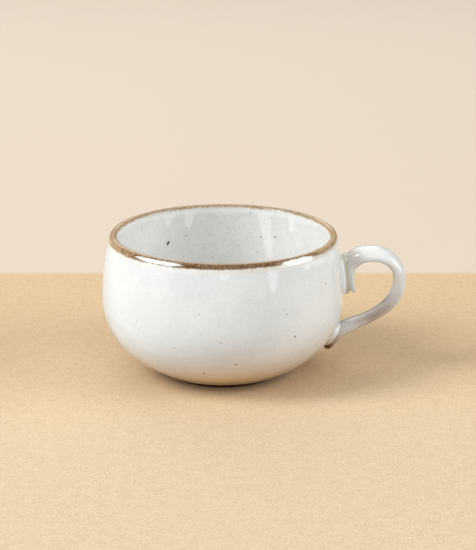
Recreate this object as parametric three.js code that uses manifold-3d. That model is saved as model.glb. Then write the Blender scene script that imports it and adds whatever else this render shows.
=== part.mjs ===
// A stoneware coffee cup: a low round bowl thrown in clay, a turned foot ring under it, a pulled
// strap handle luted to its wall with slip, a glaze coat inside, outside and on the handle, and an
// iron-brown band over the lip. Millimetres, +Z up, the handle towards +X.

import * as THREE from "three";
import { mergeVertices } from "three/addons/utils/BufferGeometryUtils.js";
import Module from "manifold-3d";

// Bowl, in bare clay
const rimHeight = 57.2; // top of the lip above the table
const lipThickness = 2.2; // the lip is a half round of this width
const bellyRadius = 48.6; // widest ring of the wall, outside
const bellyHeight = 31.8; // height of that ring
const bellyDepth = 34.2; // how far the lower curve would run below the belly if no foot stopped it
const bellySquareness = 2.11; // exponent of the lower curve: 2 is an ellipse, more is fuller
const shoulderRadius = 95; // radius of the arc from the belly up to the lip
const wallThickness = 3.2; // at the belly
const floorThickness = 4.0; // at the axis
const hollowSquareness = 2.3; // exponent of the hollow's lower curve

// Foot ring, in bare clay
const footHeight = 2.2;
const footRadius = 24; // outside, at the table
const footWidth = 4.6; // from its outside to its inside
const footFlare = 0.5; // how much further out the ring reaches where it joins the bowl
const footRound = 0.6; // rounding of its two lower edges
const recessDepth = 1.0; // hollow turned into the bowl's underside within the ring

// Coats
const coatThickness = 0.4; // of the glaze, and of the iron band on the lip
const bandDrop = 0.6; // how far the iron band comes down the outside below the lip's half round
const glazeLineRise = 0.5; // bare clay left between the bowl's lower edge and the glaze

// Handle strap, in bare clay: its thickness lies in the handle's plane, its width across it
const archThickness = 5.1; // at the crest of the arch
const strapThickness = 4.5; // at the grip, its outermost stretch
const strapWidth = 11.6;
const strapSquareness = 1.9; // exponent of its cross section: under 2 its edges are sharper
const crestDrop = 8.0; // middle of the arch's crest below the lip's top
const crestReach = 11.6; // and out from the belly
const gripDrop = 11.2; // middle of the grip below the crest
const gripReach = 23.2; // and out from the belly
const archFullness = 0.57; // of the arch's two quarter turns: 0.55 makes them elliptical
const gripRun = 9.6; // how far the grip's straight run draws the lower sweep down
const rootRun = 15.4; // how far the run out of the lower joint draws it out
const rootSlope = THREE.MathUtils.degToRad(20); // of that run
const sweepThickness = 3.3; // where the lower sweep is slimmest
const sweepWidth = 8.2; // and there
const sweepShare = 0.72; // how far along the lower sweep that is

// The strap's upper end, turned down along the wall as a tail
const tailThickness = 3.2; // at its tip
const bendThickness = 4.8; // where it turns into the arch
const tailWidth = 9.6;
const tailDrop = 24.2; // its tip below the lip's top
const tailBendDrop = 15.6; // that turn below the lip's top
const tailFlick = 0.9; // how far its tip stands out from the line of the tail

// The strap's lower end, pressed on and drawn down the wall
const rootThickness = 4.2;
const rootWidth = 11.0;
const rootHeight = 17.7; // where the strap's middle turns down
const rootReach = 4.9; // and its distance there from the wall
const rootTipThickness = 3.0;
const rootTipWidth = 10.0;
const rootTipDrop = 6.4; // its tip below that turn
const rootTurnIn = 2.5; // how far the strap still runs in before it turns
const rootTurnDown = 3.0; // and how far along the wall its tip runs straight
const tipRound = 2.6; // length over which both tips round off

// Slip that lutes the handle to the wall
const slipThickness = 1.5;
const slipMargin = 1.3; // how far it shows round the strap
const pressDepth = 0.4; // how far the strap's ends are pressed flat against it
const fitGap = 0.3; // between the slip, the strap and the coats round them

// Facets
const turnFacets = 48;
const curveSteps = 9; // along the lower curves of the bowl's section
const arcSteps = 3; // along its upper arcs
const lipSteps = 6;
const footRoundSteps = 2;
const strapSides = 16;
const strapSteps = 7; // along each stretch of the strap
const weldDistance = 1e-3;
const slopeProbe = 1e-2; // height over which the wall's slope is taken

const wasm = await Module();
wasm.setup();

const point = (across, up) => new THREE.Vector2(across, up);
const lerp = THREE.MathUtils.lerp;

// Solids

// A closed geometry as a solid that can be cut and joined.
function solidOf(geometry) {
  const bare = geometry.clone();
  bare.deleteAttribute("normal");
  bare.deleteAttribute("uv");
  const merged = mergeVertices(bare, weldDistance);
  return new wasm.Manifold(
    new wasm.Mesh({
      numProp: 3,
      vertProperties: merged.attributes.position.array,
      triVerts: new Uint32Array(merged.index.array),
    }),
  );
}

// A solid's triangles as a geometry.
function geometryOf(solid) {
  const { vertProperties, triVerts } = solid.getMesh();
  const geometry = new THREE.BufferGeometry();
  geometry.setAttribute("position", new THREE.BufferAttribute(vertProperties, 3));
  geometry.setIndex(new THREE.BufferAttribute(triVerts, 1));
  return geometry;
}

// A section of (radius, height) points turned about the cup's axis.
function turned(section) {
  return new THREE.LatheGeometry(section, turnFacets).rotateX(Math.PI / 2);
}

// Sections

// An arc round a centre from one angle to another, without its first point.
function arc(centre, radius, from, to, steps) {
  return Array.from({ length: steps }, (_, i) => {
    const angle = lerp(from, to, (i + 1) / steps);
    return point(centre.x + radius * Math.cos(angle), centre.y + radius * Math.sin(angle));
  });
}

// A superellipse round the axis at a height, from an angle off straight down out to its widest ring.
function lowerCurve(radius, height, depth, squareness, from) {
  return Array.from({ length: curveSteps + 1 }, (_, i) => {
    const angle = lerp(from, Math.PI / 2, i / curveSteps);
    const out = Math.sin(angle) ** (2 / squareness);
    const down = Math.max(Math.cos(angle), 0) ** (2 / squareness);
    return point(radius * out, height - depth * down);
  });
}

// An open section moved out along its normals, which lie to the right of its run. A point on the
// axis moves straight up.
function offset(section, distance) {
  return section.map((p, i) => {
    if (p.x === 0) {
      return point(0, p.y + distance);
    }
    const before = section[Math.max(i - 1, 0)];
    const after = section[Math.min(i + 1, section.length - 1)];
    const run = after.clone().sub(before).normalize();
    return point(p.x + run.y * distance, p.y - run.x * distance);
  });
}

// The bowl's section

// Angle of the outside's lower curve at a height.
function outsideAngle(height) {
  return Math.acos(((bellyHeight - height) / bellyDepth) ** (bellySquareness / 2));
}

// Radius of the bare wall at a height.
function wallRadius(height) {
  if (height > bellyHeight) {
    return shoulderCentre.x + Math.sqrt(shoulderRadius ** 2 - (height - bellyHeight) ** 2);
  }
  const down = (bellyHeight - height) / bellyDepth;
  return bellyRadius * (1 - down ** bellySquareness) ** (1 / bellySquareness);
}

const lipRadius = lipThickness / 2;
const shoulderCentre = point(bellyRadius - shoulderRadius, bellyHeight);
const leanIn = Math.asin((rimHeight - lipRadius - bellyHeight) / (shoulderRadius - lipRadius));
const bandLean = leanIn - bandDrop / shoulderRadius;
const lipCentre = point(
  shoulderCentre.x + (shoulderRadius - lipRadius) * Math.cos(leanIn),
  rimHeight - lipRadius,
);

// Outside: from the lower edge up to the glaze line, the iron band and the start of the lip.
const glazeLine = footHeight + glazeLineRise;
const bareEdge = [point(wallRadius(footHeight), footHeight)];
const glazedWall = [
  ...lowerCurve(bellyRadius, bellyHeight, bellyDepth, bellySquareness, outsideAngle(glazeLine)),
  ...arc(shoulderCentre, shoulderRadius, 0, bandLean, arcSteps),
];
const lip = [
  ...arc(shoulderCentre, shoulderRadius, bandLean, leanIn, 1),
  ...arc(lipCentre, lipRadius, leanIn, leanIn + Math.PI, lipSteps),
];

// Inside: from the end of the lip down to the middle of the floor.
const floorHeight = footHeight + recessDepth + floorThickness;
const hollowRadius = bellyRadius - wallThickness;
const lipEnd = lip.at(-1);
const lipEndRise = lipEnd.y - bellyHeight;
const hollowCentre = point(
  (lipEnd.x ** 2 + lipEndRise ** 2 - hollowRadius ** 2) / (2 * (lipEnd.x - hollowRadius)),
  bellyHeight,
);
const hollowArc = hollowRadius - hollowCentre.x;
const hollowFloor = lowerCurve(
  hollowRadius,
  bellyHeight,
  bellyHeight - floorHeight,
  hollowSquareness,
  0,
);
const hollow = [
  ...arc(hollowCentre, hollowArc, Math.asin(lipEndRise / hollowArc), 0, arcSteps),
  ...hollowFloor.toReversed().slice(1),
];

// Underside: the recess within the foot ring.
const footInside = footRadius - footWidth;
const recess = [
  point(0, footHeight + recessDepth),
  point(footInside - recessDepth, footHeight + recessDepth),
  point(footInside, footHeight),
];

const surface = [...bareEdge, ...glazedWall, ...lip, ...hollow];
const skin = offset(surface, coatThickness);
const bandStart = bareEdge.length + glazedWall.length - 1;
const bandEnd = bandStart + lip.length;

// A coat over the stretch of the surface between two of its points, as a closed section.
function coatSection(first, last) {
  const under = surface.slice(first, last + 1);
  const over = skin.slice(first, last + 1);
  return [...over, ...under.toReversed(), over[0]];
}

// The foot ring's section: flat on the table between two rounded edges, wider where it joins the bowl.
const footSection = [
  point(footInside, footHeight),
  point(footInside, footRound),
  ...arc(
    point(footInside + footRound, footRound),
    footRound,
    Math.PI,
    1.5 * Math.PI,
    footRoundSteps,
  ),
  point(footRadius - footRound, 0),
  ...arc(
    point(footRadius - footRound, footRound),
    footRound,
    -0.5 * Math.PI,
    0,
    footRoundSteps,
  ),
  point(footRadius + footFlare, footHeight),
  point(footInside, footHeight),
];

// The bowl as a plain round body, grown outwards, for cutting what sits against its wall.
function wallBody(distance) {
  const wall = offset([...bareEdge, ...glazedWall, ...lip.slice(0, 1)], distance);
  return solidOf(turned([point(0, wall[0].y), ...wall, point(0, wall.at(-1).y)]));
}

// The strap's middle line, in the handle's plane

// A point beside the bare wall at a height, out along the wall's normal.
function besideWall(height, distance) {
  const rise = 2 * slopeProbe;
  const spread = wallRadius(height + slopeProbe) - wallRadius(height - slopeProbe);
  const normal = point(rise, -spread).normalize();
  return point(wallRadius(height), height).addScaledVector(normal, distance);
}

const seat = slipThickness + fitGap;
const tailLine = seat + tailThickness / 2 - pressDepth;
const tailTip = besideWall(rimHeight - tailDrop, tailLine + tailFlick);
const tailBend = besideWall(rimHeight - tailBendDrop, tailLine);
const crest = point(bellyRadius + crestReach, rimHeight - crestDrop);
const grip = point(bellyRadius + gripReach, crest.y - gripDrop);
const root = point(wallRadius(rootHeight) + rootReach, rootHeight);
const rootTip = besideWall(
  rootHeight - rootTipDrop,
  seat + rootTipThickness / 2 - pressDepth,
);

// A quarter turn between an upright and a level run.
function quarterTurn(upright, level, fromUpright) {
  const first = point(upright.x, lerp(upright.y, level.y, archFullness));
  const second = point(lerp(level.x, upright.x, archFullness), level.y);
  return fromUpright
    ? new THREE.CubicBezierCurve(upright, first, second, level)
    : new THREE.CubicBezierCurve(level, second, first, upright);
}

// A cubic curve as two, before and after a share of it.
function parted(curve, share) {
  const { v0, v1, v2, v3 } = curve;
  const first = v0.clone().lerp(v1, share);
  const middle = v1.clone().lerp(v2, share);
  const last = v2.clone().lerp(v3, share);
  const before = first.clone().lerp(middle, share);
  const after = middle.clone().lerp(last, share);
  const joint = before.clone().lerp(after, share);
  return [
    new THREE.CubicBezierCurve(v0, first, before, joint),
    new THREE.CubicBezierCurve(joint, after, last, v3),
  ];
}

const rootWay = point(-Math.cos(rootSlope), -Math.sin(rootSlope));
const wallWay = rootTip
  .clone()
  .sub(besideWall(rootTip.y + rootTurnDown, seat + rootTipThickness / 2 - pressDepth))
  .normalize();
const tailLift = besideWall(lerp(tailTip.y, tailBend.y, 0.5), tailLine);
const sweep = new THREE.CubicBezierCurve(
  grip,
  point(grip.x, grip.y - gripRun),
  root.clone().addScaledVector(rootWay, -rootRun),
  root,
);

const stretches = [
  new THREE.QuadraticBezierCurve(tailTip, tailLift, tailBend),
  quarterTurn(tailBend, crest, true),
  quarterTurn(grip, crest, false),
  ...parted(sweep, sweepShare),
  new THREE.CubicBezierCurve(
    root,
    root.clone().addScaledVector(rootWay, rootTurnIn),
    rootTip.clone().addScaledVector(wallWay, -rootTurnDown),
    rootTip,
  ),
];

// Thickness and width where the stretches meet, from the tail's tip to the root's.
const thicknesses = [
  tailThickness,
  bendThickness,
  archThickness,
  strapThickness,
  sweepThickness,
  rootThickness,
  rootTipThickness,
];
const widths = [
  tailWidth,
  tailWidth,
  strapWidth,
  strapWidth,
  sweepWidth,
  rootWidth,
  rootTipWidth,
];

// The strap's oval sections along that line, grown on all sides. Towards a tip they close up in a
// quarter round, with their steps closer together.
function strapSections(grow) {
  const sections = [];
  stretches.forEach((curve, index) => {
    const length = curve.getLength();
    const starts = index === 0;
    const ends = index === stretches.length - 1;
    for (let step = starts ? 1 : 0; step < strapSteps; step++) {
      const even = step / strapSteps;
      const fromStart = 1 - Math.cos((even * Math.PI) / 2);
      const toEnd = Math.sin((even * Math.PI) / 2);
      const at = starts ? fromStart : ends ? toEnd : even;
      const tipDistance = starts ? at * length : ends ? (1 - at) * length : tipRound;
      const closing = Math.max(1 - tipDistance / tipRound, 0);
      const full = Math.sqrt(1 - closing ** 2);
      const along = curve.getTangentAt(at);
      const stretch = grow * closing * (starts ? -1 : 1);
      const blend = THREE.MathUtils.smoothstep(at, 0, 1);
      sections.push({
        centre: curve.getPointAt(at).addScaledVector(along, stretch),
        normal: point(-along.y, along.x),
        deep: (full * lerp(thicknesses[index], thicknesses[index + 1], blend)) / 2 + grow,
        wide: (full * lerp(widths[index], widths[index + 1], blend)) / 2 + grow,
      });
    }
  });
  return sections;
}

// The strap as a closed loft through those sections, with a point at each tip.
function strapBody(grow) {
  const sections = strapSections(grow);
  const first = tailTip.clone().addScaledVector(stretches[0].getTangentAt(0), -grow);
  const last = rootTip.clone().addScaledVector(wallWay, grow);
  const places = [first.x, 0, first.y];
  const power = 2 / strapSquareness;
  for (const { centre, normal, deep, wide } of sections) {
    for (let side = 0; side < strapSides; side++) {
      const angle = (2 * Math.PI * side) / strapSides;
      const out = deep * Math.sign(Math.sin(angle)) * Math.abs(Math.sin(angle)) ** power;
      const across = wide * Math.sign(Math.cos(angle)) * Math.abs(Math.cos(angle)) ** power;
      places.push(centre.x + normal.x * out, across, centre.y + normal.y * out);
    }
  }
  places.push(last.x, 0, last.y);
  const end = places.length / 3 - 1;
  const faces = [];
  for (let side = 0; side < strapSides; side++) {
    const next = (side + 1) % strapSides;
    faces.push(0, 1 + next, 1 + side);
    for (let ring = 0; ring < sections.length - 1; ring++) {
      const here = 1 + ring * strapSides;
      const ahead = here + strapSides;
      faces.push(here + side, here + next, ahead + next, here + side, ahead + next, ahead + side);
    }
    const brim = end - strapSides;
    faces.push(end, brim + side, brim + next);
  }
  const geometry = new THREE.BufferGeometry();
  geometry.setAttribute("position", new THREE.Float32BufferAttribute(places, 3));
  geometry.setIndex(faces);
  return solidOf(geometry);
}

// A slab that holds the whole cup between two heights.
function slab(low, high) {
  const span = 2 * (bellyRadius + gripReach + strapThickness);
  const box = new THREE.BoxGeometry(span, span, high - low);
  return solidOf(box.translate(0, 0, (low + high) / 2));
}

// Pieces

const wall = wallBody(0);
const wallSeat = wallBody(seat);
const strap = strapBody(0);
const coatedStrap = strapBody(coatThickness);
const slipLayer = wallBody(slipThickness).subtract(wall);
const slips = slipLayer.intersect(strapBody(coatThickness + slipMargin));
const slipClearance = strapBody(coatThickness + slipMargin + fitGap);
const betweenJoints = (tailTip.y + root.y) / 2;
const outerCoat = solidOf(turned(coatSection(bareEdge.length, bandStart)));

const clay = new THREE.MeshStandardMaterial({ color: 0xb08a62, roughness: 0.85, metalness: 0 });
const glaze = new THREE.MeshStandardMaterial({ color: 0xe4e1da, roughness: 0.2, metalness: 0 });
const iron = new THREE.MeshStandardMaterial({ color: 0x8d6b49, roughness: 0.35, metalness: 0 });
const slipClay = new THREE.MeshStandardMaterial({ color: 0xdcd6cb, roughness: 0.3, metalness: 0 });

const pieces = [
  ["clay_bowl", turned([...recess, ...surface]), clay],
  ["foot_ring", turned(footSection), clay],
  ["handle_strap", geometryOf(strap.subtract(wallSeat)), clay],
  ["upper_slip", geometryOf(slips.intersect(slab(betweenJoints, rimHeight))), slipClay],
  ["lower_slip", geometryOf(slips.intersect(slab(0, betweenJoints))), slipClay],
  ["outer_glaze", geometryOf(outerCoat.subtract(slipClearance)), glaze],
  ["inner_glaze", turned(coatSection(bandEnd, surface.length - 1)), glaze],
  ["handle_glaze", geometryOf(coatedStrap.subtract(strap).subtract(wallSeat)), glaze],
  ["lip_band", turned(coatSection(bandStart, bandEnd)), iron],
];

// The cup, with the middle of its whole length, handle included, over the origin.
const cup = new THREE.Group();
for (const [name, geometry, material] of pieces) {
  const mesh = new THREE.Mesh(geometry, material);
  mesh.name = name;
  cup.add(mesh);
}
const box = new THREE.Box3().setFromObject(cup);
cup.position.x = -(box.min.x + box.max.x) / 2;

export default cup;
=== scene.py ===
"""A hand-thrown stoneware coffee cup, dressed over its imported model.

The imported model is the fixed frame. Each class below holds one sub-assembly of the cup and repeats that
model's sizes as smooth forms: the bare clay with its foot ring, the white glaze inside and outside, the
iron-brown lip, the pulled strap handle, the slip at its two joints and the iron specks in the glaze.
Sizes are in millimetres, meshes are in metres, +Z is up and the handle points to +X.
"""

from __future__ import annotations

import logging
import math
from dataclasses import dataclass, field
from enum import Enum
from typing import Callable, Mapping, Sequence, Union

import bpy
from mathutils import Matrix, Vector

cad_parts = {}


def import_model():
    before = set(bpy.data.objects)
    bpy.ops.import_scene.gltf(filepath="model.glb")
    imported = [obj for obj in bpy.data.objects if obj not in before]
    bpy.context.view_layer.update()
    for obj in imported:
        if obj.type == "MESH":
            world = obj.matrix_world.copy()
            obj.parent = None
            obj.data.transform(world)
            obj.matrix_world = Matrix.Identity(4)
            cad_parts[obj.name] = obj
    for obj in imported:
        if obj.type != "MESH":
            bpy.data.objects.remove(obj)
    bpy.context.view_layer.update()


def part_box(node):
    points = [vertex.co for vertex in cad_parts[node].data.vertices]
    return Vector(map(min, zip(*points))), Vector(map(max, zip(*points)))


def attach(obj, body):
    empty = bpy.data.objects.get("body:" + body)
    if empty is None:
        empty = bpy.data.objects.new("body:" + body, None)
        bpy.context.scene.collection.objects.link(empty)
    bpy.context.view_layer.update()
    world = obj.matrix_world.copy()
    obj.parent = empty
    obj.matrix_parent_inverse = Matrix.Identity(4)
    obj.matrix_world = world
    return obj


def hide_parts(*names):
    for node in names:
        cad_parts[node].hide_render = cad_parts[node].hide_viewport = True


LOG = logging.getLogger("coffee_cup")
MM = 0.001
BODY = "root"
WELD = 2e-6
SHARP_ANGLE = math.radians(50.0)
FULL_TURN = 2.0 * math.pi
QUARTER_TURN = math.pi / 2.0
DAYLIGHT = (0.965, 0.985, 1.0)
Colour = tuple[float, float, float, float]
Range = tuple[float, float]


def srgb(red: int, green: int, blue: int) -> Colour:
    """A colour given as display values from 0 to 255, as the linear colour that shaders take.

    Args:
        red: Display red.
        green: Display green.
        blue: Display blue.

    Returns:
        The linear colour, with full alpha.
    """
    linear = []
    for display in (red, green, blue):
        share = display / 255.0
        linear.append(share / 12.92 if share <= 0.04045 else ((share + 0.055) / 1.055) ** 2.4)
    return (linear[0], linear[1], linear[2], 1.0)


def lerp(start: float, end: float, share: float) -> float:
    """The value a share of the way from start to end."""
    return start + (end - start) * share


def smoothstep(share: float) -> float:
    """An eased share between 0 and 1."""
    held = min(max(share, 0.0), 1.0)
    return held * held * (3.0 - 2.0 * held)


def hump(place: float, centre: float, reach: float) -> float:
    """A bell-shaped swelling of height 1 at a centre, with a given reach."""
    return math.exp(-(((place - centre) / reach) ** 2))


def run_lengths(spots: Sequence[Vector]) -> list[float]:
    """Lengths along a line from its start.

    Args:
        spots: The line's points.

    Returns:
        One length for each point.
    """
    lengths = [0.0]
    for here, there in zip(spots, spots[1:]):
        lengths.append(lengths[-1] + (there - here).length)
    return lengths


# Node trees

Operand = Union["Link", float, int, Sequence[float]]


class Link:
    """An output socket whose arithmetic adds nodes to its tree."""

    def __init__(self, tree: "Tree", socket: bpy.types.NodeSocket) -> None:
        """Wraps a socket of a tree."""
        self.tree = tree
        self.socket = socket

    @property
    def is_vector(self) -> bool:
        """Whether the socket carries three numbers."""
        return self.socket.type in {"VECTOR", "RGBA"}

    def __add__(self, other: Operand) -> "Link":
        """The sum."""
        return self.tree.combine("ADD", self, other)

    def __radd__(self, other: Operand) -> "Link":
        """The sum, with this value second."""
        return self.tree.combine("ADD", other, self)

    def __sub__(self, other: Operand) -> "Link":
        """The difference."""
        return self.tree.combine("SUBTRACT", self, other)

    def __rsub__(self, other: Operand) -> "Link":
        """The difference, with this value second."""
        return self.tree.combine("SUBTRACT", other, self)

    def __mul__(self, other: Operand) -> "Link":
        """The product."""
        return self.tree.combine("MULTIPLY", self, other)

    def __rmul__(self, other: Operand) -> "Link":
        """The product, with this value second."""
        return self.tree.combine("MULTIPLY", other, self)

    def __truediv__(self, other: Operand) -> "Link":
        """The quotient."""
        return self.tree.combine("DIVIDE", self, other)

    def __rtruediv__(self, other: Operand) -> "Link":
        """The quotient, with this value second."""
        return self.tree.combine("DIVIDE", other, self)

    def apply(self, operation: str) -> "Link":
        """The result of a Math node's operation on this value alone."""
        return self.tree.node("ShaderNodeMath", {"operation": operation}, {0: self})[0]

    def part(self, axis: str) -> "Link":
        """One of the three numbers of a vector, by its axis."""
        return self.tree.node("ShaderNodeSeparateXYZ", {}, {0: self})[axis]

    def eased(self, low: float, high: float) -> "Link":
        """A smooth step from 0 at one value to 1 at another."""
        settings = {"interpolation_type": "SMOOTHSTEP"}
        return self.tree.node("ShaderNodeMapRange", settings, {0: self, 1: low, 2: high})[0]


class Wired:
    """A node that has been made, for picking its outputs."""

    def __init__(self, tree: "Tree", made: bpy.types.Node) -> None:
        """Keeps the node with its tree."""
        self.tree = tree
        self.made = made

    def __getitem__(self, key: Union[str, int]) -> Link:
        """The output with that place or name, among those in use."""
        return Link(self.tree, Tree.pick(self.made.outputs, key))


class Tree:
    """A shader or geometry tree under construction."""

    def __init__(self, data: bpy.types.NodeTree) -> None:
        """Starts on an empty tree."""
        self.data = data

    @staticmethod
    def pick(sockets: bpy.types.bpy_prop_collection, key: Union[str, int]) -> bpy.types.NodeSocket:
        """Finds a socket.

        Args:
            sockets: A node's inputs or outputs.
            key: A place among those that are in use, or the name of one of these.

        Returns:
            The socket.
        """
        in_use = [socket for socket in sockets if socket.enabled]
        if isinstance(key, int):
            return in_use[key]
        return next(socket for socket in in_use if socket.name == key)

    def node(
        self,
        kind: str,
        settings: Mapping[str, object] | None = None,
        sockets: Mapping[Union[str, int], object] | None = None,
    ) -> Wired:
        """Makes a node.

        Args:
            kind: The node's type.
            settings: Its settings, which are set first.
            sockets: The value or the link of each input.

        Returns:
            The node, for picking its outputs.
        """
        made = self.data.nodes.new(kind)
        for name, setting in (settings or {}).items():
            setattr(made, name, setting)
        for key, value in (sockets or {}).items():
            socket = self.pick(made.inputs, key)
            if isinstance(value, Link):
                self.data.links.new(value.socket, socket)
            else:
                socket.default_value = value
        return Wired(self, made)

    def combine(self, operation: str, left: Operand, right: Operand) -> Link:
        """Arithmetic on two operands.

        Args:
            operation: A Math or Vector Math operation.
            left: First operand.
            right: Second operand.

        Returns:
            A vector if either operand is one, and otherwise a number.
        """
        flat = [isinstance(side, (int, float)) for side in (left, right)]
        for place, side in enumerate((left, right)):
            if isinstance(side, Link):
                flat[place] = not side.is_vector
        if all(flat):
            return self.node("ShaderNodeMath", {"operation": operation}, {0: left, 1: right})[0]
        if any(flat) and operation == "MULTIPLY":
            vector, scale = (right, left) if flat[0] else (left, right)
            sockets = {"Vector": vector, "Scale": scale}
            return self.node("ShaderNodeVectorMath", {"operation": "SCALE"}, sockets)[0]
        return self.node("ShaderNodeVectorMath", {"operation": operation}, {0: left, 1: right})[0]

    def either(self, left: Operand, right: Operand) -> Link:
        """The larger of two numbers."""
        return self.combine("MAXIMUM", left, right)

    def vector(self, x: Operand, y: Operand, z: Operand) -> Link:
        """Three numbers as one vector."""
        return self.node("ShaderNodeCombineXYZ", {}, {"X": x, "Y": y, "Z": z})[0]

    def tint(self, ground: Link | Colour, colour: Link | Colour, share: Operand) -> Link:
        """A colour laid over a ground colour by a share."""
        sockets = {"Factor": share, "A": ground, "B": colour}
        return self.node("ShaderNodeMix", {"data_type": "RGBA"}, sockets)["Result"]

    def noise(self, place: Link, grain: float, detail: float = 2.0) -> Link:
        """Smooth noise from -0.5 to 0.5 at a place in metres, with patches of a grain in millimetres."""
        sockets = {"Vector": place, "Scale": 1.0 / (grain * MM), "Detail": detail}
        return self.node("ShaderNodeTexNoise", {"noise_dimensions": "3D"}, sockets)[0] - 0.5


class Recipe(Tree):
    """A geometry tree with named inputs, which makes one piece for each set of values."""

    KINDS = {
        int: "NodeSocketInt",
        float: "NodeSocketFloat",
        bpy.types.Object: "NodeSocketObject",
        bpy.types.Material: "NodeSocketMaterial",
    }

    def __init__(self, name: str, inputs: Mapping[str, type]) -> None:
        """Starts the tree.

        Args:
            name: Its name.
            inputs: The kind of each named input.
        """
        super().__init__(bpy.data.node_groups.new(name, "GeometryNodeTree"))
        face = self.data.interface
        face.new_socket("Geometry", in_out="INPUT", socket_type="NodeSocketGeometry")
        self.keys: dict[str, str] = {}
        for label, kind in inputs.items():
            socket = face.new_socket(label, in_out="INPUT", socket_type=self.KINDS[kind])
            self.keys[label] = socket.identifier
        face.new_socket("Geometry", in_out="OUTPUT", socket_type="NodeSocketGeometry")
        self.given = self.node("NodeGroupInput")

    def named(self, attribute: str, kind: str = "FLOAT") -> Link:
        """A stored attribute of the geometry at hand."""
        settings = {"data_type": kind}
        return self.node("GeometryNodeInputNamedAttribute", settings, {"Name": attribute})[0]

    def store(self, geometry: Link, attribute: str, value: Link, kind: str = "FLOAT") -> Link:
        """The geometry with a value kept on its points under a name."""
        sockets = {"Geometry": geometry, "Name": attribute, "Value": value}
        return self.node("GeometryNodeStoreNamedAttribute", {"data_type": kind}, sockets)[0]

    def sample(self, geometry: Link, value: Link, index: Link, kind: str = "FLOAT") -> Link:
        """A value read from one point of another geometry."""
        sockets = {"Geometry": geometry, "Value": value, "Index": index}
        return self.node("GeometryNodeSampleIndex", {"data_type": kind}, sockets)[0]

    def object(self, label: str) -> Link:
        """The geometry of an object given as an input."""
        return self.node("GeometryNodeObjectInfo", {}, {"Object": self.given[label]})["Geometry"]

    def wrapped_grid(self, sides: Link, rows: Link) -> tuple[Link, Link, Link]:
        """A grid for wrapping round a line.

        Args:
            sides: Steps round the line.
            rows: Points along it.

        Returns:
            The grid, each point's turn round the line, and the number of its row.
        """
        size = {"Size X": 1.0, "Size Y": 1.0, "Vertices X": sides + 1, "Vertices Y": rows}
        sheet = self.node("GeometryNodeMeshGrid", {}, size)["Mesh"]
        spot = self.node("GeometryNodeInputPosition")[0]
        turn = (spot.part("X") + 0.5) * FULL_TURN
        row = ((spot.part("Y") + 0.5) * (rows - 1)).apply("ROUND")
        return sheet, turn, row

    def weld(self, geometry: Link) -> Link:
        """Closes seams and poles and shades the faces smooth.

        Args:
            geometry: A form whose edges meet.

        Returns:
            The closed form.
        """
        merge = {"Geometry": geometry, "Distance": WELD}
        whole = self.node("GeometryNodeMergeByDistance", {}, merge)[0]
        return self.node("GeometryNodeSetShadeSmooth", {}, {"Geometry": whole})[0]

    def end(self, geometry: Link) -> None:
        """Ends the tree in plain geometry with its material.

        Args:
            geometry: What the tree has made.
        """
        real = self.node("GeometryNodeRealizeInstances", {}, {"Geometry": geometry})[0]
        dressed = {"Geometry": real, "Material": self.given["Material"]}
        self.node("NodeGroupOutput", {}, {0: self.node("GeometryNodeSetMaterial", {}, dressed)[0]})

    def lay_on(self, piece: bpy.types.Object, values: Mapping[str, object]) -> None:
        """Adds the tree to a piece as a modifier.

        Args:
            piece: The piece.
            values: The value of each named input.
        """
        modifier = piece.modifiers.new(self.data.name, "NODES")
        modifier.node_group = self.data
        for label, value in values.items():
            modifier[self.keys[label]] = value


# Pieces

def settle(piece: bpy.types.Object) -> bpy.types.Object:
    """Turns what a piece's modifiers make into its plain mesh, with its faces pointing outwards.

    Args:
        piece: A piece that closes a volume.

    Returns:
        The same piece.
    """
    graph = bpy.context.evaluated_depsgraph_get()
    mesh = bpy.data.meshes.new_from_object(
        piece.evaluated_get(graph), preserve_all_data_layers=True, depsgraph=graph
    )
    piece.modifiers.clear()
    piece.data = mesh
    mesh.name = piece.name
    mesh.calc_loop_triangles()
    corners = mesh.vertices
    volume = 0.0
    for triangle in mesh.loop_triangles:
        a, b, c = (corners[place].co for place in triangle.vertices)
        volume += a.dot(b.cross(c))
    if volume < 0.0:
        mesh.flip_normals()
    mesh.set_sharp_from_angle(angle=SHARP_ANGLE)
    return piece


def new_piece(name: str) -> bpy.types.Object:
    """An empty piece in the scene, for a tree to fill.

    Args:
        name: The piece's name.

    Returns:
        The piece.
    """
    piece = bpy.data.objects.new(name, bpy.data.meshes.new(name))
    bpy.context.scene.collection.objects.link(piece)
    return piece


def guide(
    name: str,
    places: Sequence[Vector],
    numbers: Mapping[str, Sequence[float]],
    vectors: Mapping[str, Sequence[Vector]] | None = None,
) -> bpy.types.Object:
    """Points with values on them, for a tree to follow.

    Args:
        name: The guide's name.
        places: Its points.
        numbers: Named numbers, one for each point.
        vectors: Named vectors, one for each point.

    Returns:
        The guide, which the caller removes when the piece is made.
    """
    made = new_piece(name)
    made.data.from_pydata([tuple(place) for place in places], [], [])
    for label, values in numbers.items():
        layer = made.data.attributes.new(label, "FLOAT", "POINT")
        layer.data.foreach_set("value", list(values))
    for label, values in (vectors or {}).items():
        layer = made.data.attributes.new(label, "FLOAT_VECTOR", "POINT")
        layer.data.foreach_set("vector", [part for value in values for part in value])
    return made


def drop_guides(*guides: bpy.types.Object) -> None:
    """Takes guides out of the scene again.

    Args:
        guides: Guides whose pieces are made.
    """
    for made in guides:
        mesh = made.data
        bpy.data.objects.remove(made)
        bpy.data.meshes.remove(mesh)


class Slot(Enum):
    """Finishes of the record."""

    CLAY = "clay"
    SLIP = "slip"
    WHITE_GLAZE = "white_glaze"
    IRON_BAND = "iron_band"


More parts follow.
